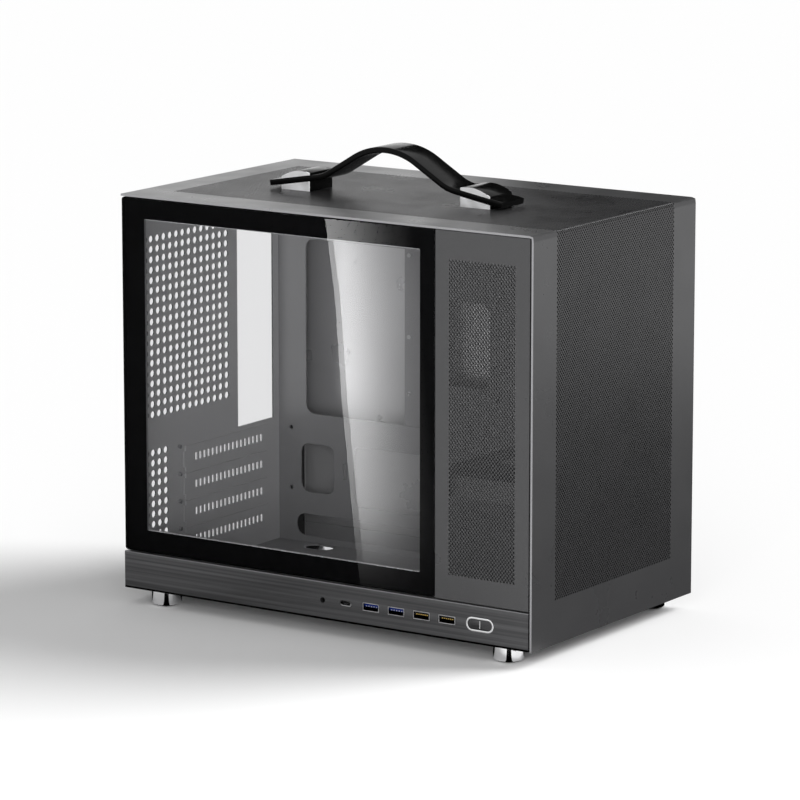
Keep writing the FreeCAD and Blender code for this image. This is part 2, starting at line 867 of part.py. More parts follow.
def side_mesh_panel():
    x_span = alongs(mesh_panel_along())
    z_span = (level(panel_low_height), level(panel_high_height))
    shell = box(x_span, (glass_y, frame_y), z_span)
    hollow = box((x_span[0] + mesh_panel_sheet, x_span[1] - mesh_panel_sheet),
                 (glass_y + mesh_panel_sheet, frame_y + cut_reach),
                 (z_span[0] + mesh_panel_sheet, z_span[1] - mesh_panel_sheet))
    panel = shell.cut(hollow)
    edges = [(x, glass_y) for x in x_span]
    panel = bend_edges(panel, "Z", edges, mesh_panel_sheet / 2)
    tools = []
    height = mesh_field_low + mesh_gap_width / 2
    while height < mesh_field_high:
        tools.append(box((x_span[0] + mesh_panel_margin, x_span[1] - mesh_panel_margin),
                         past(glass_y, glass_y + mesh_panel_sheet),
                         levels(centred(height, mesh_gap_width))))
        height += mesh_gap_pitch
    return cut_all(panel, tools)


def right_side_panel():
    x_span = (along(fit_gap), cover_back_x - fit_gap)
    z_span = (level(fit_gap), cover_under_z - fit_gap)
    shell = box(x_span, (closed_flange_y + fit_gap, closed_y), z_span)
    hollow = box((x_span[0] + steel_sheet, x_span[1] - steel_sheet),
                 (closed_flange_y - cut_reach, closed_y - steel_sheet),
                 (z_span[0] + steel_sheet, z_span[1] - steel_sheet))
    panel = shell.cut(hollow)
    edges = [(x, closed_y) for x in x_span]
    panel = bend_edges(panel, "Z", edges, fold_radius / 2)
    return panel


def glass_panel():
    return rounded_prism("Y", alongs(glass_along()), levels((panel_low_height, panel_high_height)),
                         glass_corner, (glass_y, glass_y + glass_thickness))


def glass_strip(centre_along):
    return box(alongs(centred(centre_along, strip_width)),
               (glass_y + glass_thickness, glass_y + glass_thickness + strip_sheet),
               levels((panel_low_height + glass_corner, panel_high_height - glass_corner)))


def stud(x, z, seat_y, direction, length):
    # A neck and a wider nose that snaps into its clip, pointing along the direction.
    neck_end = seat_y + direction * (length - stud_nose_length)
    tip = neck_end + direction * stud_nose_length
    neck = regular_prism("Y", (x, z), stud_radius, small_sides, tuple(sorted((seat_y, neck_end))))
    nose = regular_prism("Y", (x, z), stud_ball_radius, small_sides, tuple(sorted((neck_end, tip))))
    return fused([neck, nose])


def glass_studs():
    seat = glass_y + glass_thickness + strip_sheet
    return [stud(along(place), level(height), seat, 1, glass_stud_length)
            for place in (stud_inset, front_stud_along()) for height in glass_stud_heights]


def clip(x, z, face_y, direction):
    span = tuple(sorted((face_y, face_y + direction * clip_depth)))
    body = box(centred(x, clip_size), span, centred(z, clip_size))
    return body.cut(pin_hole("Y", (x, z), clip_hole_radius(), past(*span)))


def glass_clips():
    clips = []
    for place in (stud_inset, front_stud_along()):
        face = flange_y + steel_sheet if place == stud_inset else flange_y
        for height in glass_stud_heights:
            clips.append(clip(along(place), level(height), face, 1))
    return clips


def side_panel_studs():
    seat = closed_y - steel_sheet
    return [stud(x, level(height), seat, -1, side_stud_length)
            for x in side_stud_xs() for height in side_stud_heights]


def side_stud_xs():
    return (along(stud_inset), cover_back_x - stud_inset)


def side_panel_clips():
    clips = []
    for x in side_stud_xs():
        face = closed_flange_y - steel_sheet
        if x > 0:
            face -= steel_sheet
        for height in side_stud_heights:
            clips.append(clip(x, level(height), face, -1))
    return clips


# Bottom bar with the front ports
def usb_along(index):
    return usb_first_along + index * usb_pitch


def bottom_bar():
    x_span = (along(0.0), along(body_length - cover_sheet - panel_seam))
    inner = glass_y + bar_wall
    deep = flange_y - fit_gap
    low, high = level(0.0), level(bar_height)
    outline = [
        (glass_y, low),
        (deep, low),
        (deep, low + bar_lip),
        (inner, low + bar_lip),
        (inner, high - bar_lip),
        (deep, high - bar_lip),
        (deep, high),
        (glass_y, high),
    ]
    bar = prism("X", outline, x_span)
    bar = bend_edges(bar, "X", [(glass_y, low), (glass_y, high)], bar_edge_radius)
    span = past(glass_y, inner)
    centre_z = level(port_height)
    tools = [regular_prism("Y", (along(jack_along), centre_z), jack_bore_radius + fit_gap, pad_sides, span)]
    tools.append(rounded_prism("Y", alongs(centred(usb_c_along, usb_c_width + 2 * fit_gap)),
                               centred(centre_z, usb_c_height + 2 * fit_gap), usb_c_height, span))
    for index in range(usb_count):
        tools.append(box(alongs(centred(usb_along(index), usb_width + 2 * fit_gap)), span,
                         centred(centre_z, usb_height + 2 * fit_gap)))
    tools.append(rounded_prism("Y", alongs(centred(button_along, button_width)),
                               centred(centre_z, button_height), button_height, span))
    return cut_all(bar, tools)


def board_top_height():
    return port_height - usb_height / 2


def io_board_span():
    return alongs((jack_along - board_end_margin, button_along + board_end_margin))


def io_board():
    y_low = flange_y + steel_sheet + fit_gap
    z_span = levels((board_top_height() - board_thickness, board_top_height()))
    return box(io_board_span(), (y_low, y_low + board_depth), z_span)


def io_board_pillars():
    low, high = levels((base_top_height, board_top_height() - board_thickness))
    rear, front = io_board_span()
    y = flange_y + steel_sheet + fit_gap + board_depth - pillar_inset
    return [regular_prism("Z", (x, y), pillar_radius, hex_sides, (low, high))
            for x in (rear + pillar_inset, (rear + front) / 2, front - pillar_inset)]


def audio_jack():
    front = glass_y + bar_wall + fit_gap
    rear = front + jack_body_depth
    z_span = levels((board_top_height(), port_height + usb_height / 2))
    body = box(centred(along(jack_along), jack_body_size), (front, rear), z_span)
    bore = regular_prism("Y", (along(jack_along), level(port_height)), jack_bore_radius, pad_sides,
                         (front - cut_reach, rear - blind_wall))
    return body.cut(bore)


def usb_c_port():
    front = glass_y + port_setback
    rear = front + usb_c_depth
    z = level(port_height)
    outer = rounded_prism("Y", alongs(centred(usb_c_along, usb_c_width)),
                          centred(z, usb_c_height), usb_c_height, (front, rear))
    inner = rounded_prism("Y", alongs(centred(usb_c_along, usb_c_width - 2 * usb_wall)),
                          centred(z, usb_c_height - 2 * usb_wall), usb_c_height,
                          (front - cut_reach, rear - blind_wall))
    foot = box(alongs(centred(usb_c_along, usb_c_width - usb_c_height)),
               (flange_y + steel_sheet + fit_gap, rear),
               (level(board_top_height()), z - usb_c_height / 2 + usb_wall / 2))
    return fused([outer, foot]).cut(inner)


def usb_c_tongue():
    width = usb_c_width - 2 * usb_c_tongue_margin
    thickness = usb_c_height - 2 * usb_c_tongue_margin
    rear = glass_y + port_setback + usb_c_depth - blind_wall
    return box(alongs(centred(usb_c_along, width)), (glass_y + tongue_setback, rear),
               centred(level(port_height), thickness))


def usb_shell(index):
    front = glass_y + port_setback
    rear = front + usb_depth
    x = along(usb_along(index))
    z = level(port_height)
    outer = box(centred(x, usb_width), (front, rear), centred(z, usb_height))
    inner = box(centred(x, usb_width - 2 * usb_wall), (front - cut_reach, rear - blind_wall),
                centred(z, usb_height - 2 * usb_wall))
    return outer.cut(inner)


def usb_tongue(index):
    x = along(usb_along(index))
    top = level(port_height) + usb_height / 2 - usb_wall - usb_tongue_drop
    rear = glass_y + port_setback + usb_depth - blind_wall
    return box(centred(x, usb_width - 2 * usb_wall - 2 * usb_tongue_margin), (glass_y + tongue_setback, rear),
               (top - usb_tongue_height, top))


# Power button: a ring in the bar, a cap with a stem, and the switch on the board behind it
def button_ring():
    x, z = along(button_along), level(port_height)
    outer = rounded_prism("Y", centred(x, button_width), centred(z, button_height), button_height,
                          (glass_y, glass_y + bar_wall))
    width = button_width - 2 * button_ring_wall
    height = button_height - 2 * button_ring_wall
    return outer.cut(rounded_prism("Y", centred(x, width), centred(z, height), height,
                                   past(glass_y, glass_y + bar_wall)))


def button_cap_rear():
    # Far enough from the side flange to clear it when the button is pressed.
    return flange_y - button_travel - fit_gap


def power_button():
    x, z = along(button_along), level(port_height)
    width = button_width - 2 * button_ring_wall - 2 * button_gap
    height = button_height - 2 * button_ring_wall - 2 * button_gap
    cap = rounded_prism("Y", centred(x, width), centred(z, height), height,
                        (glass_y + port_setback, button_cap_rear()))
    stem = regular_prism("Y", (x, z), plunger_radius, small_sides,
                         (button_cap_rear(), switch_face() + 2 * button_travel))
    return fused([cap, stem])


def switch_face():
    return flange_y + steel_sheet + switch_setback


def power_switch():
    x, z = along(button_along), level(port_height)
    face = switch_face()
    body = box(centred(x, switch_size), (face, face + switch_size),
               levels((board_top_height(), board_top_height() + switch_size)))
    depth = 4 * button_travel
    return body.cut(pin_hole("Y", (x, z), plunger_radius + button_gap, (face - cut_reach, face + depth)))


# Handle: wedge blocks, a bowed strap and caps, with screws from below
def handle_centre_along():
    return body_length / 2 - handle_rear_shift


def crown_slope():
    return math.tan(math.radians(crown_angle))


def crown_apex():
    # Where the two sides of the crown would meet, above the top of the body.
    return strap_peak_rise + crown_radius * (1 / math.cos(math.radians(crown_angle)) - 1)


def knee_reach():
    # Distance from the middle of the handle at which the side of the crown meets the slope of a block.
    knee_to_end = knee_block_gap + block_length
    return (crown_apex() - block_low - knee_to_end * ramp_slope()) / crown_slope()


def block_reach():
    # Distances of a block's outer and inner ends from the middle of the handle.
    inner = knee_reach() + knee_block_gap
    return (inner + block_length, inner)


def handle_end_along(end):
    outer, inner = block_reach()
    return handle_centre_along() + end * (outer + inner) / 2


def handle_screw_holes(span):
    holes = []
    for end in (-1, 1):
        for side in (-1, 1):
            centre = (along(handle_end_along(end)), handle_across + side * strap_width / 4)
            holes.append(pin_hole("Z", centre, screw_radius + fit_gap, span))
    return holes


def ramp_slope():
    return (block_high - block_low) / block_length


def ramp_height(distance):
    # Underside of the strap over a block, above the top of the body.
    return block_low + (block_reach()[0] - distance) * ramp_slope()


def strap_outline():
    # Half of the strap's underside, as corners that are rounded afterwards.
    half = block_reach()[0] + block_inset
    knee = knee_reach()
    return [(-half, ramp_height(half)), (-knee, ramp_height(knee)), (0.0, crown_apex()),
            (knee, ramp_height(knee)), (half, ramp_height(half))]


def offset_line(line, distance):
    # The line moved sideways by the distance, with its corners kept sharp.
    moved = []
    for index, (x, z) in enumerate(line):
        normals = []
        for start, end in ((index - 1, index), (index, index + 1)):
            if start < 0 or end >= len(line):
                continue
            dx, dz = line[end][0] - line[start][0], line[end][1] - line[start][1]
            length = math.hypot(dx, dz)
            normals.append((-dz / length, dx / length))
        if len(normals) == 1:
            nx, nz = normals[0]
            moved.append((x + nx * distance, z + nz * distance))
            continue
        sx, sz = normals[0][0] + normals[1][0], normals[0][1] + normals[1][1]
        scale = 2 * distance / (sx * sx + sz * sz)
        moved.append((x + sx * scale, z + sz * scale))
    return moved


def handle_point(distance, rise):
    return (along(handle_centre_along() + distance), top_z + rise)


def handle_strap():
    low_line = strap_outline()
    high_line = offset_line(low_line, strap_thickness)
    low = [handle_point(*place) for place in low_line]
    high = [handle_point(*place) for place in high_line]
    y_span = centred(handle_across, strap_width)
    strap = prism("Y", low + high[::-1], y_span)
    strap = bend_edges(strap, "Y", [low[2]], crown_radius)
    strap = bend_edges(strap, "Y", [high[2]], crown_radius + strap_thickness)
    strap = bend_edges(strap, "Y", [high[1], high[3]], knee_radius)
    strap = bend_edges(strap, "Y", [low[1], low[3]], knee_radius + strap_thickness)
    return cut_all(strap, handle_screw_holes(past(top_z, handle_screw_tip())))


def handle_block(end):
    outer, inner = block_reach()
    outline = [handle_point(end * outer, 0.0), handle_point(end * inner, 0.0),
               handle_point(end * inner, ramp_height(inner)), handle_point(end * outer, ramp_height(outer))]
    block = prism("Y", outline, centred(handle_across, strap_width))
    return cut_all(block, handle_screw_holes(past(top_z, handle_screw_tip())))


def strap_rise():
    # Upright thickness of the strap where it lies on the sloping blocks.
    return strap_thickness * math.sqrt(1 + ramp_slope() ** 2)


def handle_screw_tip():
    outer, inner = block_reach()
    return top_z + ramp_height((outer + inner) / 2) + strap_rise() + cap_thickness


def handle_cap(end):
    # A lens on top of the strap: flat underneath, with short ends and a crowned top.
    outer, inner = block_reach()
    rise = strap_rise()
    ends = [handle_point(end * distance, ramp_height(distance) + rise + extra)
            for distance, extra in ((outer, 0.0), (inner, 0.0), (inner, cap_thickness),
                                    ((outer + inner) / 2, cap_thickness + cap_crown), (outer, cap_thickness))]
    y_span = centred(handle_across, strap_width)
    corners = [point("Y", y_span[0], *place) for place in ends]
    edges = [
        Part.LineSegment(corners[0], corners[1]).toShape(),
        Part.LineSegment(corners[1], corners[2]).toShape(),
        Part.Arc(corners[2], corners[3], corners[4]).toShape(),
        Part.LineSegment(corners[4], corners[0]).toShape(),
    ]
    cap = Part.Face(Part.Wire(edges)).extrude(Vector(0, y_span[1] - y_span[0], 0))
    return cut_all(cap, handle_screw_holes((top_z, handle_screw_tip() + fit_gap)))


def handle_screws():
    under = cover_under_z - steel_sheet
    tip = handle_screw_tip()
    screws = []
    for end in (-1, 1):
        for side in (-1, 1):
            centre = (along(handle_end_along(end)), handle_across + side * strap_width / 4)
            head = regular_prism("Z", centre, screw_head_radius, hex_sides,
                                 (under - screw_head_height, under))
            shank = regular_prism("Z", centre, screw_radius, small_sides, (under, tip))
            screws.append(fused([head, shank]))
    return screws


# Feet with rubber pads
def foot_place(index):
    x = along(foot_rear_along if index < 2 else body_length - foot_front_margin)
    y = (body_width / 2 - foot_inset) * (-1 if index % 2 == 0 else 1)
    return (x, y)


def foot(index):
    low = pad_thickness
    body = regular_prism("Z", foot_place(index), foot_radius, foot_sides, (low, level(0.0)))
    rim = [edge for edge in body.Edges if edge.BoundBox.ZMax < low + nearness]
    return body.makeChamfer(foot_chamfer, rim)


def foot_pad(index):
    return regular_prism("Z", foot_place(index), pad_radius, pad_sides, (0.0, pad_thickness))


def main():
    makers = {
        "base_pan": base_pan,
        "rear_panel": rear_panel,
        "motherboard_tray": motherboard_tray,
        "side_frame": side_frame,
        "top_frame": top_frame,
        "front_frame": front_frame,
        "psu_bracket": psu_bracket,
        "drive_bracket": drive_bracket,
        "drive_bracket_screws": drive_bracket_screws,
        "slot_screws": slot_screws,
        "front_top_cover": front_top_cover,
        "side_mesh_panel": side_mesh_panel,
        "right_side_panel": right_side_panel,
        "side_panel_studs": side_panel_studs,
        "side_panel_clips": side_panel_clips,
        "glass_panel": glass_panel,
        "glass_strip_rear": lambda: glass_strip(stud_inset),
        "glass_strip_front": lambda: glass_strip(front_stud_along()),
        "glass_studs": glass_studs,
        "glass_clips": glass_clips,
        "bottom_bar": bottom_bar,
        "io_board": io_board,
        "io_board_pillars": io_board_pillars,
        "audio_jack": audio_jack,
        "usb_c_port": usb_c_port,
        "usb_c_tongue": usb_c_tongue,
        "button_ring": button_ring,
        "power_button": power_button,
        "power_switch": power_switch,
        "handle_strap": handle_strap,
        "handle_block_rear": lambda: handle_block(-1),
        "handle_block_front": lambda: handle_block(1),
        "handle_cap_rear": lambda: handle_cap(-1),
        "handle_cap_front": lambda: handle_cap(1),
        "handle_screws": handle_screws,
    }
    for name, maker in makers.items():
        save(name, maker())
    for index in range(slot_count):
        save("slot_cover_%d" % (index + 1), slot_cover(index))
    for index in range(usb_count):
        save("usb_shell_%d" % (index + 1), usb_shell(index))
        save("usb_tongue_%d" % (index + 1), usb_tongue(index))
    corners = ("rear_glass_side", "rear_closed_side", "front_glass_side", "front_closed_side")
    for index, place in enumerate(corners):
        save("foot_" + place, foot(index))
        save("foot_pad_" + place, foot_pad(index))


main()
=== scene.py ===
import json
import math

import bpy
import numpy as np
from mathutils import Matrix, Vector


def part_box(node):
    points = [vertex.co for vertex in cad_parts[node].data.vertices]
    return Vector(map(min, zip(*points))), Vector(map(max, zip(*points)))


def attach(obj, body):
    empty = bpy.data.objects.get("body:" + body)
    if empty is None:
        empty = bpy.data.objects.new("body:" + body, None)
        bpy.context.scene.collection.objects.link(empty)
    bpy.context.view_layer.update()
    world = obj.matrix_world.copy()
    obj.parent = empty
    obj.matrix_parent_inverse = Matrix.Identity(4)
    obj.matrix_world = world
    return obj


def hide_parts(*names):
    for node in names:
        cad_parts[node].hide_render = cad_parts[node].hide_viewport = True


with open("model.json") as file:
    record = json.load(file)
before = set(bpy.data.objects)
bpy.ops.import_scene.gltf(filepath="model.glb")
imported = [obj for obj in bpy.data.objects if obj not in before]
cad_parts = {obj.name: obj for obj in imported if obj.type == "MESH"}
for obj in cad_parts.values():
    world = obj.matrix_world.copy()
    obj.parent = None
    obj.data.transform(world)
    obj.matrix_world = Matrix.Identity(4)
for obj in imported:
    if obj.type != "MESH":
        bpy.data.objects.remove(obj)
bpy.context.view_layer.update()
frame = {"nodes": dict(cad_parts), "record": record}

bl_info = {
    "name": "Compact Computer Case",
    "version": (1, 0, 0),
    "blender": (4, 5, 0),
    "location": "3D View > Sidebar > Case",
    "description": "Dresses a compact computer case: perforated sheets, glass, ports, handle, feet and finishes",
    "category": "Object",
}

MM = 0.001
SLOT_OF = {part["node"]: part["material_slot"] for part in frame["record"]["subparts"]}


def node_box(name):
    """Lowest and highest corner of a node, as two arrays in metres."""
    low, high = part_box(name)
    return np.array(low), np.array(high)


# Sizes that the solids don't give
COVER_SHEET, COVER_EDGE = 1.5 * MM, 2.0 * MM
MESH_SHEET, REAR_SHEET = 1.2 * MM, 1.0 * MM
VENT_PITCH, FIRST_VENT, LOWER_VENTS = 7.5 * MM, np.array([-79.8, 131.6]) * MM, 28.5 * MM
APERTURE = (31.2 * MM, 75.65 * MM, 105.4 * MM, 264.15 * MM)
FIRST_SLOT, SLOT_PITCH = 92.8 * MM, 20.32 * MM
WINDOW_LOW, WINDOW_HIGH = np.array([-153.5, 54.2]) * MM, np.array([80.5, 278.8]) * MM
GLASS_CORNER, GLASS_BEVEL, PRINT_FILM = 2.0 * MM, 0.4 * MM, 0.08 * MM
STRAP_THICKNESS, STRAP_HALF, BLOCK_EDGE = 4.2 * MM, 97.55 * MM, 0.35 * MM
BLOCK_LOW, BLOCK_RISE, BLOCK_LENGTH = 3.2 * MM, 4.2 * MM, 24.5 * MM
# Heights of the painted shade along the bar's lower edge and of the painted highlight along its upper edge
BAR_PAINTED_SHADE_LINE, BAR_PAINTED_HIGHLIGHT_LINE = 1.4 * MM, 0.7 * MM
PAINT_ROUGHNESS, FINE_GRAIN, STEP_MARGIN = 0.3, 2600.0, 10 * MM


# Meshes from arrays

def mesh_from_arrays(name, points, faces, smooth=None):
    """One mesh from an array of points and arrays of three- or four-cornered faces.

    Faces are flat, or smooth with edges kept sharp above the given angle in degrees."""
    mesh = bpy.data.meshes.new(name)
    corners = np.concatenate([np.asarray(block).ravel() for block in faces]).astype(np.int32)
    counts = np.concatenate([np.full(len(block), np.asarray(block).shape[1]) for block in faces])
    starts = np.concatenate([[0], np.cumsum(counts)[:-1]]).astype(np.int32)
    mesh.vertices.add(len(points))
    mesh.vertices.foreach_set("co", np.asarray(points, np.float32).ravel())
    mesh.loops.add(len(corners))
    mesh.loops.foreach_set("vertex_index", corners)
    mesh.polygons.add(len(starts))
    mesh.polygons.foreach_set("loop_start", starts)
    mesh.update(calc_edges=True)
    if mesh.validate():
        raise RuntimeError("the mesh " + name + " had faulty faces")
    mesh.polygons.foreach_set("use_smooth", np.full(len(starts), smooth is not None))
    if smooth is not None:
        mesh.set_sharp_from_angle(angle=math.radians(smooth))
    return mesh


def place_piece(name, form, body, slot, replaces=(), smooth=None, finish=None):
    """Puts a form of points and faces into the scene as a piece, with its slot, finish and replaced nodes."""
    piece = bpy.data.objects.new(name, mesh_from_arrays(name, *form, smooth))
    bpy.context.scene.collection.objects.link(piece)
    piece.data.materials.append(finish_of(finish or slot))
    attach(piece, body)
    if replaces:
        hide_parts(*replaces)
    return piece


def coat_faces(piece, finish, test):
    """Gives a further finish to the faces whose normals and middles pass a test."""
    piece.data.materials.append(finish_of(finish))
    polygons = piece.data.polygons
    normals, middles = (np.empty(len(polygons) * 3, np.float32) for _ in range(2))
    polygons.foreach_get("normal", normals)
    polygons.foreach_get("center", middles)
    index = np.zeros(len(polygons), np.int32)
    polygons.foreach_get("material_index", index)
    index[test(normals.reshape(-1, 3), middles.reshape(-1, 3))] = len(piece.data.materials) - 1
    polygons.foreach_set("material_index", index)


def rows_of(*columns):
    """Columns of numbers side by side, as rows of points or faces. A single number fills its column."""
    return np.stack(np.broadcast_arrays(*columns), axis=-1)


def grid_of(first, second):
    """All pairs of two rows of numbers."""
    return rows_of(*np.meshgrid(first, second, indexing="ij")).reshape(-1, 2)


def joined(parts):
    """Several closed forms as one: their points in a row, and their faces counted on."""
    points, faces, start = [], [], 0
    for part_points, part_faces in parts:
        points.append(part_points)
        faces += [np.asarray(block) + start for block in part_faces]
        start += len(part_points)
    return np.concatenate(points), faces


def thick_sheet(outer, inner, faces):
    """A closed sheet from its outer points, the inner points behind them and the outer faces.

    The inner faces are the outer ones turned round, and each edge that only one face has gets a wall."""
    count = len(outer)
    edges = np.concatenate([rows_of(block, np.roll(block, -1, axis=1)).reshape(-1, 2) for block in faces])
    there = edges[:, 0].astype(np.int64) * count + edges[:, 1]
    back = edges[:, 1].astype(np.int64) * count + edges[:, 0]
    rim = edges[~np.isin(there, back)]
    walls = rows_of(rim[:, 1], rim[:, 0], rim[:, 0] + count, rim[:, 1] + count)
    turned = [block[:, ::-1] + count for block in faces]
    points = np.concatenate([outer, inner])
    blocks = list(faces) + turned + [walls]
    used, first = np.unique(np.concatenate([block.ravel() for block in blocks]), return_inverse=True)
    result, start = [], 0
    for block in blocks:
        result.append(first[start:start + block.size].reshape(block.shape))
        start += block.size
    return points[used], result


def bands(index):
    """The faces between neighbouring rows of point numbers, where each row is a closed loop."""
    following = np.roll(index, -1, axis=1)
    return rows_of(index[:-1], following[:-1], following[1:], index[1:]).reshape(-1, 4)


def loft(loops):
    """A closed skin over a stack of loops, counter-clockwise seen from the last loop, with fans on both ends."""
    loops = np.asarray(loops, float)
    index = np.arange(loops.size // 3).reshape(loops.shape[:2])
    following = np.roll(index, -1, axis=1)
    points = np.concatenate([loops.reshape(-1, 3), loops[[0, -1]].mean(axis=1)])
    return points, [bands(index), rows_of(following[0], index[0], index.size),
                    rows_of(index[-1], following[-1], index.size + 1)]


def ring_solid(loops):
    """A closed ring whose section is a loop of outlines: the last outline joins the first."""
    loops = np.asarray(loops, float)
    index = np.arange(loops.size // 3).reshape(loops.shape[:2])
    return loops.reshape(-1, 3), [bands(np.concatenate([index, index[:1]]))]


def rounded_outline(width, height, radius, steps=8):
    """A rectangle with quarter circles at its corners, centred on zero and counter-clockwise."""
    turn = np.linspace(0, math.pi / 2, steps + 1)
    angles = np.concatenate([turn + quarter * math.pi / 2 for quarter in range(4)])
    signs = np.repeat(np.array([[1, 1], [-1, 1], [-1, -1], [1, -1]]), steps + 1, axis=0)
    centres = signs * np.array([width / 2 - radius, height / 2 - radius])
    return centres + radius * rows_of(np.cos(angles), np.sin(angles))


def on_side(outline, centre, y):
    """A flat outline in X and Z as points at one Y."""
    return rows_of(outline[:, 0] + centre[0], y, outline[:, 1] + centre[1])


def on_floor(outline, centre, z):
    """A flat outline in X and Y as points at one Z."""
    return rows_of(outline[:, 0] + centre[0], outline[:, 1] + centre[1], z)


def thin_bar(low, high):
    """A straight strip of sheet with hair-fine rounded long edges, carried upwards."""
    (width, depth, _), centre = np.subtract(high, low), np.add(low, high) / 2
    outline = rounded_outline(width, depth, 0.2 * MM, 2)
    return loft([on_floor(outline, centre, low[2]), on_floor(outline, centre, high[2])])


def lathe(profile, centre, segments=96):
    """A profile of radius and height turned round an upright axis, from the bottom up."""
    angles = np.linspace(0, 2 * math.pi, segments, endpoint=False)
    circle = rows_of(np.cos(angles), np.sin(angles))
    return loft([on_floor(circle * radius, centre, height) for radius, height in profile])


def rounded_profile(radius, low, high, edge, steps=6):
    """The side line of a short round post whose lower and upper rims are quarter circles."""
    turn = np.linspace(0, math.pi / 2, steps + 1)
    lower = rows_of(radius - edge + edge * np.sin(turn), low + edge - edge * np.cos(turn))
    upper = rows_of(radius - edge + edge * np.cos(turn), high - edge + edge * np.sin(turn))
    return np.concatenate([lower, upper])


# Perforated sheets

def faces_round_holes(corners, rim):
    """The faces between the four corners of each cell and the rim of its hole, as quads and triangles.

    A rim of four points takes one quad a side. A finer rim takes a fan at each corner, and a triangle that closes
    the gap to the next corner."""
    sides, quads, tris = rim.shape[1], [], []
    quarter = sides // 4
    for side in range(4):
        near, far = corners[side], corners[(side + 1) % 4]
        start = side * quarter
        if quarter == 1:
            quads.append(rows_of(near, far, rim[:, (start + 1) % sides], rim[:, start]))
            continue
        for turn in range(-(quarter // 2), quarter // 2):
            tris.append(rows_of(near, rim[:, (start + turn + 1) % sides], rim[:, (start + turn) % sides]))
        tris.append(rows_of(near, far, rim[:, start + quarter // 2]))
    return quads, tris


def perforated_field(columns, rows, pitch, hole, sides, margins):
    """A flat field of staggered holes on rhombic cells, with a plain margin all round.

    Cell corners lie where the sum of the half steps is odd and holes where it is even. Each cell is a ring of
    faces between its rhombus and its hole. Half cells without holes close the edges, and strips make the margin,
    side by side counter-clockwise. Returns points, faces and the row of each face, in half steps."""
    half, across, along = np.array(pitch) / 2, 2 * columns, 2 * rows
    step_u, step_v = np.meshgrid(np.arange(across + 1), np.arange(along + 1), indexing="ij")
    index = np.arange(step_u.size).reshape(step_u.shape)
    lattice, row_of = rows_of(step_u * half[0], step_v * half[1]).reshape(-1, 2), step_v.ravel()
    inside = ((step_u + step_v) % 2 == 0) & (step_u > 0) & (step_v > 0) & (step_u < across) & (step_v < along)
    u, v = step_u[inside], step_v[inside]
    corners = [index[u + 1, v], index[u, v + 1], index[u - 1, v], index[u, v - 1]]
    angles = np.arange(sides) * 2 * math.pi / sides
    shape = rows_of(np.cos(angles) * hole[0], np.sin(angles) * hole[1])
    points = [lattice, (lattice[index[u, v]][:, None, :] + shape[None]).reshape(-1, 2)]
    quads, tris = faces_round_holes(corners, index.size + np.arange(len(u) * sides).reshape(len(u), sides))
    quad_rows, tri_rows = [v] * len(quads), [v] * len(tris)
    left, right, low, high = margins
    outward = np.array([[0, -low], [right, 0], [0, high], [-left, 0]])
    edges = (index[:, 0], index[across], index[::-1, along], index[0, ::-1])
    within = (index[:, 1], index[across - 1], index[::-1, along - 1], index[1, ::-1])
    stops = [np.concatenate([[0], np.arange(1, len(edge) - 1, 2), [len(edge) - 1]]) for edge in edges]
    first = index.size + len(u) * sides + np.cumsum([0] + [len(own) + 1 for own in stops])
    for side, (edge, inner, own) in enumerate(zip(edges, within, stops)):
        ids, last = first[side] + 1 + np.arange(len(own)), first[side if side else -1] - 1
        points += [lattice[edge[:1]] + outward[side] + outward[side - 1], lattice[edge[own]] + outward[side]]
        even = np.arange(2, len(edge) - 1, 2)
        tris += [rows_of(edge[even + 1], inner[even], edge[even - 1]), [[edge[0], edge[1], edges[side - 1][-2]]]]
        quads += [rows_of(ids[:-1], ids[1:], edge[own[1:]], edge[own[:-1]]), [[first[side], ids[0], edge[0], last]]]
        tri_rows += [row_of[edge[even]], row_of[edge[:1]]]
        quad_rows += [(row_of[edge[own[:-1]]] + row_of[edge[own[1:]]]) // 2, row_of[edge[:1]]]
    return (np.concatenate(points), [np.concatenate(quads), np.concatenate(tris)],
            [np.concatenate(quad_rows), np.concatenate(tri_rows)])


def folded_strip(flat, rear, front, top, edge, depth):
    """Carries a flat sheet over a fold: it runs forward along the top, round a quarter circle and down the front.

    The first coordinate is the distance across and the second the distance along the sheet. Depth is measured
    inwards from the outer face."""
    straight = front - edge - rear
    bend = edge * math.pi / 2
    distance = flat[:, 1]
    turn = np.clip((distance - straight) / edge, 0, math.pi / 2)
    x = rear + np.clip(distance, None, straight) + (edge - depth) * np.sin(turn)
    z = top - edge + (edge - depth) * np.cos(turn) - np.clip(distance - straight - bend, 0, None)
    return rows_of(x, -flat[:, 0], z)


def length_property(name, description, millimetres):
    return bpy.props.FloatProperty(name=name, description=description, default=millimetres * MM,
                                   unit="LENGTH", precision=5)


def colour_property(name, description, default):
    return bpy.props.FloatVectorProperty(name=name, description=description, subtype="COLOR", size=3,
                                         default=default, min=0, max=1)


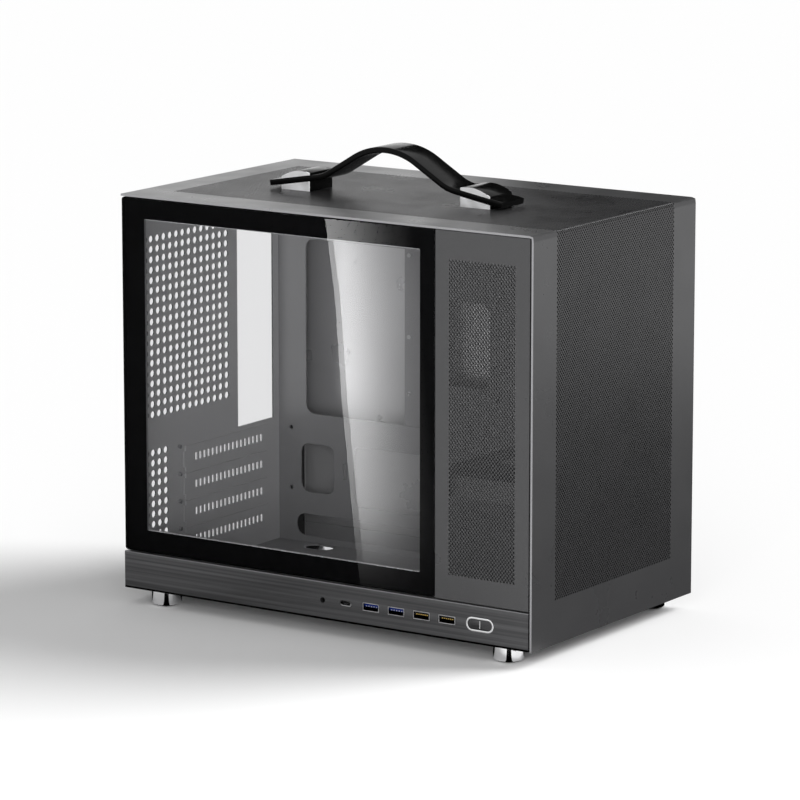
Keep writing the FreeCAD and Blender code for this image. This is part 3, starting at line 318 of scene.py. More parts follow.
class CaseSettings(bpy.types.PropertyGroup):
    """Sizes and colours of the case that a user may change."""

    mesh_pitch_across: length_property("Mesh pitch across", "Distance between cover holes across the case", 2.335)
    mesh_pitch_along: length_property("Mesh pitch along", "Distance between cover holes along the sheet", 3.2)
    mesh_open: bpy.props.FloatProperty(
        name="Mesh opening", description="Size of a hole as a share of its cell", default=0.68, min=0.3, max=0.85)
    field_half_width: length_property("Field half width", "Half the width of the cover's perforated field", 77.0)
    field_rear: length_property("Field rear margin", "Plain margin of the cover at the rear edge", 23.5)
    field_low: length_property("Field low margin", "Plain margin of the cover at its lower front edge", 30.0)
    side_pitch_across: length_property("Side mesh pitch", "Distance between side mesh holes along the case", 2.62)
    side_pitch_up: length_property("Side mesh pitch up", "Distance between side mesh holes upwards", 3.05)
    vent_radius: length_property("Vent radius", "Radius of the round vents of the rear panel", 2.6)
    paint: colour_property("Paint", "Colour of the outer sheets", (0.068, 0.068, 0.07))
    inner_paint: colour_property("Inner paint", "Colour of the inner sheets", (0.36, 0.36, 0.365))
    # Painted light: the inner faces of the rear and closed side panels are painted far lighter than the outer
    # paint, standing in for light the closed inside lacks
    painted_light_inner_paint: colour_property("Bright inner paint", "Colour of the rear and closed side panels, inside",
                                  (0.72, 0.72, 0.725))
    glass_tint: bpy.props.FloatProperty(
        name="Glass tint", description="Share of light that passes the glass", default=0.8, min=0, max=1)


def settings():
    return bpy.context.scene.case_settings


# Finishes

def feed(tree, value, socket):
    """Gives a socket a plain value, or the output that feeds it."""
    if isinstance(value, bpy.types.NodeSocket):
        tree.links.new(value, socket)
    else:
        socket.default_value = value


def add_node(tree, kind, inputs=None, **options):
    """Adds a shader node with its options, and with its inputs by name or number."""
    node = tree.nodes.new("ShaderNode" + kind)
    for name, value in options.items():
        setattr(node, name, value)
    for key, value in (inputs or {}).items():
        feed(tree, value, node.inputs[key])
    return node


def new_finish(name, **values):
    """Makes a material with one main shader, whose plain values are set on its own sockets."""
    material = bpy.data.materials.new(name)
    material.use_nodes = True
    tree = material.node_tree
    shader = tree.nodes["Principled BSDF"]
    for key, value in values.items():
        socket = shader.inputs[key.replace("_", " ").title().replace("Ior", "IOR")]
        socket.default_value = value
    return tree, shader


def bare_finish(name):
    """A material without a shader, with the socket for its surface."""
    tree, shader = new_finish(name)
    tree.nodes.remove(shader)
    return tree, tree.nodes["Material Output"].inputs["Surface"]


def object_noise(tree, scale, detail=3.0, stretch=(1, 1, 1)):
    """Noise on the piece's own coordinates, stretched by the given factors."""
    place = add_node(tree, "TexCoord").outputs["Object"]
    mapped = add_node(tree, "Mapping", {"Vector": place, "Scale": stretch}).outputs["Vector"]
    return add_node(tree, "TexNoise", {"Vector": mapped, "Scale": scale, "Detail": detail}).outputs["Fac"]


def spread(tree, source, low, high, source_low=0.3, source_high=0.7):
    """Spreads a value, by default a noise's usual range, over the range from low to high."""
    ends = {"From Min": source_low, "From Max": source_high, "To Min": low, "To Max": high}
    return add_node(tree, "MapRange", {"Value": source, **ends}).outputs["Result"]


def blended(tree, kind, factor, first, second):
    """Two colours blended in the given way."""
    inputs = {"Factor": factor, "A": first, "B": second}
    return add_node(tree, "Mix", inputs, data_type="RGBA", blend_type=kind).outputs["Result"]


def vary_colour(tree, shader, noise, colour, amount):
    """Lets the base colour swing a little round its own value with the noise."""
    ends = [(*[min(1, part * scale) for part in colour], 1) for scale in (1 - amount, 1 + amount)]
    feed(tree, blended(tree, "MIX", spread(tree, noise, 0, 1), *ends), shader.inputs["Base Color"])


def vary_gloss(tree, shader, noise, low, high):
    """Lets the roughness swing between two values with the noise."""
    feed(tree, spread(tree, noise, low, high), shader.inputs["Roughness"])


def object_steps(tree, axis, places, tones):
    """Tones that change in steps at the given places, in metres, along one axis of the piece."""
    split = add_node(tree, "SeparateXYZ", {"Vector": add_node(tree, "TexCoord").outputs["Object"]})
    low, high = places[0] - STEP_MARGIN, places[-1] + STEP_MARGIN
    steps = add_node(tree, "ValToRGB", {"Fac": spread(tree, split.outputs[axis], 0, 1, low, high)})
    steps.color_ramp.interpolation = "CONSTANT"
    stops = steps.color_ramp.elements
    positions = [0.0] + [(value - low) / (high - low) for value in places]
    for number, (position, tone) in enumerate(zip(positions, tones)):
        stop = stops[number] if number < 2 else stops.new(position)
        stop.position, stop.color = position, (tone, tone, tone, 1)
    return steps.outputs["Color"]


def scale_colour(tree, shader, tones):
    """Multiplies the varied base colour by the tones."""
    base = shader.inputs["Base Color"]
    feed(tree, blended(tree, "MULTIPLY", 1.0, base.links[0].from_socket, tones), base)


def add_bump(tree, shader, noise, strength, distance):
    bump = add_node(tree, "Bump", {"Height": noise, "Strength": strength, "Distance": distance})
    feed(tree, bump.outputs["Normal"], shader.inputs["Normal"])


def sheet_paint(name, colour, roughness, metallic=0.4):
    """Fine powder paint: a grain a fraction of a millimetre wide in the height, and slow changes of gloss."""
    tree, shader = new_finish(name, metallic=metallic)
    fine, slow = object_noise(tree, FINE_GRAIN, 2.0), object_noise(tree, 30.0, 4.0)
    vary_colour(tree, shader, fine, colour, 0.10)
    vary_gloss(tree, shader, slow, roughness - 0.04, roughness + 0.05)
    add_bump(tree, shader, fine, 0.12, 0.00004)
    return tree, shader


def lined_panel(name, outside, inside):
    """The closed side panel: outer paint on its face, and on the side turned inwards a far lighter paint, painted
    light for the light the closed inside lacks.
    """
    tree, shader = sheet_paint(name, inside, PAINT_ROUGHNESS)
    face = node_box("right_side_panel")[1][1] - 0.5 * MM
    scale_colour(tree, shader, object_steps(tree, "Y", (face,), (1.0, outside[0] / inside[0])))


def shell_metal(name):
    """A bright socket rim whose inside, from a little below its face, is painted black as painted shade in the
    socket.
    """
    tree, shader = polished(name, (0.6, 0.6, 0.61), 0.3)
    face = node_box("usb_shell_1")[0][1] + 0.35 * MM
    # Painted shade: the shell's inner walls turn black from a little below its face
    scale_colour(tree, shader, object_steps(tree, "Y", (face,), (1.0, 0.0)))


def spun_metal(name, colour):
    """Dark metal turned round the middle of the button, so that its shine spreads in wedges."""
    tree, shader = new_finish(name, metallic=1.0, anisotropic=0.9)
    fine = object_noise(tree, FINE_GRAIN, 2.0)
    vary_colour(tree, shader, fine, colour, 0.15)
    vary_gloss(tree, shader, fine, 0.27, 0.36)
    around = add_node(tree, "Tangent", direction_type="RADIAL", axis="Y")
    feed(tree, around.outputs["Tangent"], shader.inputs["Tangent"])


def polished(name, colour, roughness):
    """Bright plated metal with faint polishing haze."""
    tree, shader = new_finish(name, metallic=1.0)
    slow = object_noise(tree, 160.0, 4.0)
    vary_colour(tree, shader, slow, colour, 0.03)
    vary_gloss(tree, shader, slow, roughness * 0.6, roughness * 1.5)
    return tree, shader


def moulded(name, colour, roughness, grain=900.0, bump=0.05, gloss=0.5):
    """Moulded plastic or rubber with a fine even grain."""
    tree, shader = new_finish(name, specular_ior_level=gloss)
    fine = object_noise(tree, grain, 3.0)
    vary_colour(tree, shader, fine, colour, 0.12)
    vary_gloss(tree, shader, fine, roughness - 0.03, roughness + 0.05)
    add_bump(tree, shader, fine, bump, 0.00003)


def printed_black(name, colour):
    """Black print fired onto the glass: no gloss of its own, and a faint unevenness in its tone."""
    tree, shader = new_finish(name, roughness=0.6, specular_ior_level=0.0)
    vary_colour(tree, shader, object_noise(tree, 120.0, 3.0), colour, 0.2)


def brushed_metal(name, colour):
    """Metal brushed along the case: noise drawn out along X in colour, gloss and height.

    Height steps halve the colour but for a painted highlight along the upper edge, and paint shade in black along
    the lower edge."""
    tree, shader = new_finish(name, metallic=0.75, anisotropic=0.4)
    lines = object_noise(tree, 1.0, 4.0, (9.0, 500.0, 900.0))
    broad = object_noise(tree, 1.0, 5.0, (3.0, 160.0, 420.0))
    vary_colour(tree, shader, broad, colour, 0.45)
    low, high = node_box("bottom_bar")
    # Painted highlight along the top edge and painted shade along the bottom edge, in the colour and in the
    # specular level
    tones = object_steps(tree, "Z", (low[2] + BAR_PAINTED_SHADE_LINE, high[2] - BAR_PAINTED_HIGHLIGHT_LINE), (0.0, 0.5, 1.0))
    scale_colour(tree, shader, tones)
    feed(tree, tones, shader.inputs["Specular IOR Level"])
    vary_gloss(tree, shader, lines, 0.30, 0.52)
    add_bump(tree, shader, lines, 0.25, 0.00005)


def clear_glass(name, passing):
    """Thin clear glass: light passes with a slight tint, and the surface mirrors by its Fresnel share."""
    tree, surface = bare_finish(name)
    through = add_node(tree, "BsdfTransparent", {"Color": (passing, passing, passing * 1.005, 1)})
    mirror = add_node(tree, "BsdfGlossy", {"Roughness": 0.0})
    share = add_node(tree, "Fresnel", {"IOR": 1.28}).outputs["Fac"]
    both = add_node(tree, "MixShader", {0: share, 1: through.outputs["BSDF"], 2: mirror.outputs["BSDF"]})
    feed(tree, both.outputs["Shader"], surface)


def finish_recipe(slot):
    """The function and the values that make the finish of a slot."""
    values = settings()
    return {
        "panel_grey": (sheet_paint, values.paint, PAINT_ROUGHNESS),
        "lined_panel": (lined_panel, values.paint, values.painted_light_inner_paint),
        # Painted light: the light inner paint stands in for light inside the closed case
        "bright_interior": (sheet_paint, values.painted_light_inner_paint, 0.5, 0.1),
        "interior_grey": (sheet_paint, values.inner_paint, 0.5, 0.2),
        "tinted_glass": (clear_glass, math.sqrt(values.glass_tint)),
        "black_border": (printed_black, (0.004, 0.004, 0.0045)),
        "brushed_bar": (brushed_metal, (0.16, 0.16, 0.165)),
        "chrome": (polished, (0.85, 0.85, 0.86), 0.07),
        "block_chrome": (polished, (0.95, 0.95, 0.96), 0.5),
        "cut_edge": (polished, (0.36, 0.36, 0.37), 0.4),
        "zinc_screw": (polished, (0.6, 0.6, 0.61), 0.3),
        "gloss_black": (moulded, (0.003, 0.003, 0.003), 0.14, 300.0, 0.02, 0.08),
        "port_metal": (polished, (0.75, 0.75, 0.76), 0.25),
        "shell_metal": (shell_metal,),
        "gold": (polished, (0.75, 0.5, 0.12), 0.35),
        "spun_black": (spun_metal, (0.07, 0.07, 0.072)),
        "port_black": (moulded, (0.006, 0.006, 0.006), 0.5, 900.0, 0.05, 0.15),
        "port_blue": (moulded, (0.003, 0.016, 0.13), 0.5, 900.0, 0.05, 0.15),
        "board": (moulded, (0.01, 0.02, 0.014), 0.45),
        "clip_plastic": (moulded, (0.02, 0.02, 0.02), 0.5),
        "pad_rubber": (moulded, (0.015, 0.015, 0.015), 0.75, 1500.0, 0.3),
    }[slot]


def finish_of(slot):
    """The finish of one material slot, made once."""
    name = "finish_" + slot
    if name not in bpy.data.materials:
        make, *values = finish_recipe(slot)
        make(name, *values)
    return bpy.data.materials[name]


NODE_FINISHES = {"right_side_panel": "lined_panel", "usb_c_port": "chrome"}
for number in range(1, 5):
    NODE_FINISHES["usb_shell_%d" % number] = "shell_metal"
    # Painted light: the slot covers take the light inner paint, standing in for light inside the case
    NODE_FINISHES["slot_cover_%d" % number] = "bright_interior"


class CASE_OT_finishes(bpy.types.Operator):
    """Gives each carried-over part the finish of its material slot"""

    bl_idname = "case.finishes"
    bl_label = "Finishes"

    def execute(self, context):
        for name, part in frame["nodes"].items():
            finish = finish_of(NODE_FINISHES.get(name, SLOT_OF[name]))
            for slot in part.material_slots:
                slot.material = finish
        return {"FINISHED"}


class CASE_OT_cover(bpy.types.Operator):
    """Makes the folded front and top cover with its fine staggered holes, in four interlocking parts"""

    bl_idname = "case.cover"
    bl_label = "Perforated cover"

    def execute(self, context):
        values = settings()
        low, high = node_box("front_top_cover")
        width = 2 * values.field_half_width
        straight = high[0] - COVER_EDGE - low[0]
        total = straight + COVER_EDGE * math.pi / 2 + high[2] - COVER_EDGE - low[2]
        length = total - values.field_rear - values.field_low
        columns, rows = round(width / values.mesh_pitch_across), round(length / values.mesh_pitch_along)
        pitch = (width / columns, length / rows)
        hole = (pitch[0] / 2 * values.mesh_open, pitch[1] / 2 * values.mesh_open)
        side = (high[1] - low[1]) / 2 - width / 2
        flat, faces, labels = perforated_field(columns, rows, pitch, hole, 4,
                                               (side, side, values.field_rear, values.field_low))
        flat = flat + np.array([-width / 2, values.field_rear])
        outer, inner = (folded_strip(flat, low[0], high[0], high[2], COVER_EDGE, depth)
                        for depth in (0.0, COVER_SHEET))
        cuts = [0] + [int(2 * rows * share) // 2 * 2 + 1 for share in (0.26, 0.53, 0.77)] + [2 * rows + 1]
        for number, (first, last) in enumerate(zip(cuts[:-1], cuts[1:]), 1):
            chosen = [block[(label >= first) & (label < last)] for block, label in zip(faces, labels)]
            form = thick_sheet(outer, inner, chosen)
            piece = place_piece("cover_mesh_%d" % number, form, "chassis", "panel_grey", ("front_top_cover",))
            walls = len(form[1][-1])
            # Painted shade: all cut walls, the holes' walls among them, are painted black; the side edges then take
            # the cut-edge metal
            coat_faces(piece, "port_black", lambda normal, middle: np.arange(len(normal)) >= len(normal) - walls)
            coat_faces(piece, "cut_edge", lambda normal, middle: (np.abs(normal[:, 1]) > 0.9)
                       & (np.abs(middle[:, 1]) > high[1] - 0.2 * MM))
        return {"FINISHED"}


class CASE_OT_side_mesh(bpy.types.Operator):
    """Makes the perforated side panel between the glass and the front, with a turned rim behind it"""

    bl_idname = "case.side_mesh"
    bl_label = "Side mesh"

    def execute(self, context):
        values = settings()
        low, high = node_box("side_mesh_panel")
        field = np.array([low[0] + 10.5 * MM, high[0] - 10.5 * MM, 56.0 * MM, 275.5 * MM])
        size = (field[1] - field[0], field[3] - field[2])
        columns, rows = round(size[0] / values.side_pitch_across), round(size[1] / values.side_pitch_up)
        pitch = (size[0] / columns, size[1] / rows)
        hole = (pitch[0] / 2 * 0.66, pitch[1] / 2 * 0.66)
        margins = (field[0] - low[0], high[0] - field[1], field[2] - low[2], high[2] - field[3])
        flat, faces, _ = perforated_field(columns, rows, pitch, hole, 8, margins)
        outer = on_side(flat, field[[0, 2]], low[1])
        skin = thick_sheet(outer, outer + np.array([0, MESH_SHEET, 0]), faces)
        (width, _, height), centre = high - low, (low + high)[[0, 2]] / 2
        full = rounded_outline(width, height, 0.4 * MM, 3)
        less = rounded_outline(width - 2 * MESH_SHEET, height - 2 * MESH_SHEET, 0.2 * MM, 3)
        near, far = low[1] + MESH_SHEET, high[1]
        rim = ring_solid([on_side(full, centre, far), on_side(full, centre, near),
                          on_side(less, centre, near), on_side(less, centre, far)])
        place_piece("side_mesh", joined([skin, rim]), "chassis", "panel_grey", ("side_mesh_panel",))
        return {"FINISHED"}


def vented_plate(lines_u, lines_v, openings, vents, radius, sides=16):
    """A flat plate with square openings and round vents.

    Every line runs the whole plate, so that cells share their corners. A cell whose middle lies in an opening is
    left out. A vent is a fan of faces between the corners of its own cell and a circle."""
    u, v = np.meshgrid((lines_u[:-1] + lines_u[1:]) / 2, (lines_v[:-1] + lines_v[1:]) / 2, indexing="ij")
    solid = np.ones(u.shape, bool)
    for low_u, high_u, low_v, high_v in openings:
        solid &= ~((u > low_u) & (u < high_u) & (v > low_v) & (v < high_v))
    index = np.arange(len(lines_u) * len(lines_v)).reshape(len(lines_u), len(lines_v))
    cell_u = np.searchsorted(lines_u, vents[:, 0]) - 1
    cell_v = np.searchsorted(lines_v, vents[:, 1]) - 1
    solid[cell_u, cell_v] = False
    u, v = np.nonzero(solid)
    quads = rows_of(index[u, v], index[u + 1, v], index[u + 1, v + 1], index[u, v + 1])
    angles = math.pi / 4 + np.arange(sides) * 2 * math.pi / sides
    circle = radius * rows_of(np.cos(angles), np.sin(angles))
    rim = index.size + np.arange(len(vents) * sides).reshape(len(vents), sides)
    points = np.concatenate([grid_of(lines_u, lines_v), (vents[:, None, :] + circle[None]).reshape(-1, 2)])
    corners = [index[cell_u + 1, cell_v + 1], index[cell_u, cell_v + 1], index[cell_u, cell_v],
               index[cell_u + 1, cell_v]]
    return points, [quads, np.concatenate(faces_round_holes(corners, rim)[1])]


class CASE_OT_rear_panel(bpy.types.Operator):
    """Makes the rear panel with round vents, connector opening, card slots and side flanges"""

    bl_idname = "case.rear_panel"
    bl_label = "Rear panel"

    def execute(self, context):
        values = settings()
        low, high = node_box("rear_panel")
        upper = grid_of(FIRST_VENT[0] + VENT_PITCH * np.arange(14), FIRST_VENT[1] + VENT_PITCH * np.arange(18))
        lower = grid_of(FIRST_VENT[0] + VENT_PITCH * np.arange(4), LOWER_VENTS + VENT_PITCH * np.arange(11))
        seam_u, seam_v = FIRST_VENT[0] + 5.5 * VENT_PITCH, LOWER_VENTS + 10.5 * VENT_PITCH
        slots = [(-27.5 * MM, 27.0 * MM, 100.5 * MM, 101.7 * MM), APERTURE]
        for slot in range(4):
            z = FIRST_SLOT - SLOT_PITCH * slot
            slots.append((-26.0 * MM, 62.0 * MM, z - 6.5 * MM, z + 6.5 * MM))
            slots.append((-37.1 * MM, -35.5 * MM, z - 6.3 * MM, z + 6.3 * MM))
        plates = []
        for area, openings, vents in (((low[1], high[1], seam_v, high[2]), [APERTURE], upper),
                                      ((low[1], seam_u, low[2], seam_v), [], lower),
                                      ((seam_u, high[1], low[2], seam_v), slots, upper[:0])):
            lines = []
            for axis in (0, 1):
                start, end = area[2 * axis:2 * axis + 2]
                own = [(start, end)] + [box[2 * axis:2 * axis + 2] for box in openings]
                places = np.unique(vents[:, axis])
                stops = np.concatenate(own + [places - VENT_PITCH / 2, places + VENT_PITCH / 2])
                stops = np.unique(np.round(stops, 6))
                lines.append(stops[(stops >= start - 1e-6) & (stops <= end + 1e-6)])
            flat, faces = vented_plate(*lines, openings, vents, values.vent_radius)
            inner = rows_of(low[0] + REAR_SHEET, flat[:, 0], flat[:, 1])
            plates.append(thick_sheet(inner, inner - np.array([REAR_SHEET, 0, 0]), faces))
        flanges = [thin_bar((low[0] + REAR_SHEET, y, low[2]), (high[0], y + REAR_SHEET, high[2]))
                   for y in (low[1], high[1] - REAR_SHEET)]
        piece = place_piece("rear_panel_vents", joined(plates + flanges), "chassis", "panel_grey", ("rear_panel",))
        # Painted light: the panel's inner faces take the light inner paint, standing in for light inside the case
        coat_faces(piece, "bright_interior", lambda normal, middle: normal[:, 0] > 0.7)
        return {"FINISHED"}


class CASE_OT_glass(bpy.types.Operator):
    """Makes the glass pane with ground edges and the black border printed on its inner face"""

    bl_idname = "case.glass"
    bl_label = "Glass"

    def execute(self, context):
        low, high = node_box("glass_panel")
        (width, _, height), centre = high - low, (low + high)[[0, 2]] / 2
        inset = 2 * (PRINT_FILM + GLASS_BEVEL)
        full = rounded_outline(width - 2 * PRINT_FILM, height - 2 * PRINT_FILM, GLASS_CORNER)
        less = rounded_outline(width - inset, height - inset, GLASS_CORNER - GLASS_BEVEL)
        back, front = high[1] - PRINT_FILM, low[1] + GLASS_BEVEL
        form = loft([on_side(full, centre, back), on_side(full, centre, front), on_side(less, centre, low[1])])
        place_piece("glass_pane", form, "glass", "tinted_glass", ("glass_panel",), 30)
        window_centre = (WINDOW_LOW + WINDOW_HIGH) / 2
        opening = rounded_outline(*(WINDOW_HIGH - WINDOW_LOW), 0.6 * MM)
        outer = rounded_outline(width, height, GLASS_CORNER)
        form = ring_solid([on_side(outer, centre, high[1]), on_side(outer, centre, front),
                           on_side(full, centre, front), on_side(full, centre, back),
                           on_side(opening, window_centre, back), on_side(opening, window_centre, high[1])])
        place_piece("glass_border_print", form, "glass", "black_border", (), 30)
        # The window lines are the frame's edges behind the glass, made of bright metal as painted highlight where
        # those edges catch the light
        ends, behind = (WINDOW_LOW[0] + MM, WINDOW_HIGH[0] - MM), high[1] + 0.4 * MM
        lines = [thin_bar((ends[0], high[1], z), (ends[1], behind, z + tall))
                 for z, tall in ((WINDOW_LOW[1], 0.5 * MM), (WINDOW_HIGH[1] - 0.35 * MM, 0.35 * MM))]
        place_piece("window_lines", joined(lines), "glass", "port_metal")
        return {"FINISHED"}


class CASE_OT_feet(bpy.types.Operator):
    """Turns the four bright feet with fine rounded rims"""

    bl_idname = "case.feet"
    bl_label = "Feet"

    def execute(self, context):
        for place in ("rear_glass_side", "rear_closed_side", "front_glass_side", "front_closed_side"):
            low, high = node_box("foot_" + place)
            profile = rounded_profile((high[1] - low[1]) / 2, low[2], high[2], 0.7 * MM)
            form = lathe(profile, (low + high) / 2)
            place_piece("foot_turned_" + place, form, "chassis", "chrome", ("foot_" + place,), 35)
        return {"FINISHED"}


def arc_path(corners, radii, steps=16):
    """A line through corners in X and Z, with each inner corner rounded by its radius."""
    corners = np.asarray(corners, float)
    pieces = [corners[:1]]
    for before, corner, after, radius in zip(corners[:-2], corners[1:-1], corners[2:], radii):
        into = (corner - before) / np.linalg.norm(corner - before)
        out = (after - corner) / np.linalg.norm(after - corner)
        turn = math.atan2(into[0] * out[1] - into[1] * out[0], into @ out)
        reach = radius * math.tan(abs(turn) / 2)
        side = np.array([-into[1], into[0]]) * math.copysign(1, turn)
        centre = corner - into * reach + side * radius
        angles = np.linspace(0, turn, steps + 1)[:, None]
        spoke = -side * radius
        crossed = np.array([-spoke[1], spoke[0]])
        pieces.append(centre + spoke * np.cos(angles) + crossed * np.sin(angles))
    pieces.append(corners[-1:])
    return np.concatenate(pieces)


def path_normals(path):
    """Unit normals of a line in X and Z, upwards."""
    steps = np.gradient(path, axis=0)
    steps /= np.linalg.norm(steps, axis=1)[:, None]
    return rows_of(-steps[:, 1], steps[:, 0])


def extruded_across(outline, low_y, high_y):
    """A closed outline in X and Z carried across the case, drawn in a little at both ends."""
    outline, edge = np.asarray(outline, float), BLOCK_EDGE
    centre = outline.mean(axis=0)
    loops = []
    for y, inset in ((low_y, edge), (low_y + edge, 0.0), (high_y - edge, 0.0), (high_y, edge)):
        scale = 1 - inset / np.abs(outline - centre).max()
        loops.append(on_side(centre + (outline - centre) * scale, (0, 0), y))
    return loft(loops)


def handle_line():
    """The underside of the strap: along the sloping blocks, up through the knees and over the crown."""
    low, high = node_box("handle_strap")
    start = np.array([(low[0] + high[0]) / 2, node_box("front_top_cover")[1][2]])
    half, slope, knee_radius, crown_radius = STRAP_HALF, BLOCK_RISE / BLOCK_LENGTH, 34.2 * MM, 48.0 * MM
    foot = lambda distance: BLOCK_LOW + (88.15 * MM - distance) * slope
    crown_angle = math.radians(31.0)
    apex = 32.4 * MM + crown_radius * (1 / math.cos(crown_angle) - 1)
    knee = (apex - foot(0.0)) / (math.tan(crown_angle) - slope)
    line = [(-half, foot(half)), (-knee, foot(knee)), (0.0, apex), (knee, foot(knee)), (half, foot(half))]
    return arc_path(np.array(line) + start, (knee_radius, crown_radius, knee_radius), 28)


class CASE_OT_handle(bpy.types.Operator):
    """Makes the bowed strap, its bright wedge blocks and the domed caps"""

    bl_idname = "case.handle"
    bl_label = "Carry handle"

    def execute(self, context):
        low, high = node_box("handle_strap")
        middle = (low[1] + high[1]) / 2
        line = handle_line()
        normals = path_normals(line)
        centre = line + normals * STRAP_THICKNESS / 2
        section = rounded_outline(high[1] - low[1], STRAP_THICKNESS, 0.9 * MM, 5)
        loops = np.stack([rows_of(centre[:, 0] + normals[:, 0] * v, middle - u, centre[:, 1] + normals[:, 1] * v)
                          for u, v in section], axis=1)
        place_piece("strap", loft(loops), "chassis", "gloss_black", ("handle_strap",), 40)
        for place in ("rear", "front"):
            self.block(place)
            self.cap(place)
        return {"FINISHED"}

    def block(self, place):
        """A wedge whose higher end is turned to the middle of the case."""
        low, high = node_box("handle_block_" + place)
        ends = (BLOCK_LOW, BLOCK_LOW + BLOCK_RISE)
        rear, front = ends if place == "rear" else ends[::-1]
        outline = [(low[0], low[2]), (high[0], low[2]), (high[0], low[2] + front), (low[0], low[2] + rear)]
        form = extruded_across(outline[::-1], low[1], high[1])
        # Painted reflection: the chrome block is gloss black on all faces but its two ends across the case, where
        # its mirror shows dark surroundings
        piece = place_piece("wedge_block_" + place, form, "chassis", "chrome", ("handle_block_" + place,), None,
                            "gloss_black")
        coat_faces(piece, "block_chrome", lambda normal, middle: np.abs(normal[:, 1]) > 0.7)

    def cap(self, place):
        """A cap on the strap's end: its height over the strap is a parabola that is highest in the middle."""
        low, high = node_box("handle_cap_" + place)
        slope = BLOCK_RISE / BLOCK_LENGTH
        share = np.linspace(0, 1, 25)
        x = low[0] + (high[0] - low[0]) * share
        rise = 1.6 * MM + 2.6 * MM * (1 - (2 * share - 1) ** 2)
        under = low[2] + (slope * (x - low[0]) if place == "rear" else -slope * (x - high[0]))
        outline = np.concatenate([rows_of(x, under), rows_of(x, under + rise)[::-1]])
        form = extruded_across(outline[::-1], low[1], high[1])
        # Painted reflection: the chrome cap is gloss black on its domed top and ends, where its mirror shows dark
        # surroundings, and bright chrome on its sides
        piece = place_piece("domed_cap_" + place, form, "chassis", "chrome", ("handle_cap_" + place,), 30,
                            "gloss_black")
        coat_faces(piece, "block_chrome", lambda normal, middle: np.abs(normal[:, 1]) > 0.3)


class CASE_OT_ports(bpy.types.Operator):
    """Adds the small contacts on the tongues of the sockets and rounds the ring of the button"""

    bl_idname = "case.ports"
    bl_label = "Ports and button"

    def execute(self, context):
        for name, numbers, count, finish in (("socket_contacts", (1, 2), 5, "zinc_screw"),
                                             ("socket_contacts_gold", (3, 4), 6, "gold")):
            place_piece(name, self.contacts(numbers, count), "chassis", "zinc_screw", (), None, finish)
        low, high = node_box("button_ring")
        near, round_off = low[1] + 0.25 * MM, low[1] + 0.08 * MM
        form = ring_solid(self.outlines(low, high, (
            (0.0, high[1]), (0.0, near), (0.08 * MM, round_off), (0.3 * MM, low[1]), (1.1 * MM, low[1]),
            (1.32 * MM, round_off), (1.4 * MM, near), (1.4 * MM, high[1]))))
        place_piece("button_bezel", form, "chassis", "chrome", ("button_ring",), 40)
        centre = (low + high)[[0, 2]] / 2
        low, high = node_box("power_button")
        face = low[1] + 0.05 * MM
        form = loft(self.outlines(low, high, ((0.0, face + 3.0 * MM), (0.0, face + 0.3 * MM),
                                              (0.1 * MM, face + 0.1 * MM), (0.35 * MM, face))))
        place_piece("button_cap", form, "power_button", "gloss_black", ("power_button",), 40, "spun_black")
        line = rounded_outline(0.7 * MM, high[2] - low[2] - 1.0 * MM, 0.3 * MM, 4)
        form = loft([on_side(line, centre, face + 0.3 * MM), on_side(line, centre, low[1])])
        place_piece("button_line", form, "power_button", "gloss_black", (), None, "zinc_screw")
        return {"FINISHED"}

    def contacts(self, numbers, count):
        """A row of pads on the front of each tongue."""
        pads = []
        outline = rounded_outline(0.9 * MM, 0.6 * MM, 0.1 * MM, 1)
        for number in numbers:
            low, high = node_box("usb_tongue_%d" % number)
            for step in np.linspace(-0.36, 0.36, count):
                place = ((low[0] + high[0]) / 2 + step * (high[0] - low[0]), low[2] + 0.45 * MM)
                pads.append(loft([on_side(outline, place, low[1] + 0.1 * MM),
                                  on_side(outline, place, low[1] - 0.06 * MM)]))
        return joined(pads)

    def outlines(self, low, high, stops):
        """Outlines of the button with full round ends, each drawn in by an inset, at the given depths."""
        width, _, height = high - low
        centre = sum(node_box("button_ring"))[[0, 2]] / 2
        return [on_side(rounded_outline(width - 2 * inset, height - 2 * inset, height / 2 - inset - 1e-6, 20),
                        centre, depth) for inset, depth in stops]


# Stage

CAMERA_PLACE = (1.7894, -2.6532, 0.7746)
CAMERA_AZIMUTH, CAMERA_ELEVATION = 34.069, 11.057
BAND_STRENGTH = 18.0


def stage_sheet(name, points, material, faces=(np.array([[0, 1, 2, 3]]),)):
    """A stage sheet, with four corners unless other faces are given."""
    mesh = mesh_from_arrays(name, np.array(points, float), list(faces))
    sheet = bpy.data.objects.new(name, mesh)
    bpy.context.scene.collection.objects.link(sheet)
    sheet.data.materials.append(material)
    return sheet


def matte(name, value):
    new_finish(name, base_color=(value, value, value, 1), roughness=0.9, specular_ior_level=0.0)
    return bpy.data.materials[name]


def only_in_reflections(sheet):
    sheet.visible_camera = sheet.visible_diffuse = False
    sheet.visible_transmission = sheet.visible_shadow = False


def mirrored_point(x, z, distance):
    """Where the camera's rays go after the glass mirrors them at X and Z, at distances along the rays."""
    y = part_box("glass_panel")[0][1]
    glass = rows_of(x, y, z)
    ray = glass - np.array([CAMERA_PLACE[0], 2 * y - CAMERA_PLACE[1], CAMERA_PLACE[2]])
    return glass + ray / np.linalg.norm(ray, axis=-1, keepdims=True) * distance[..., None]


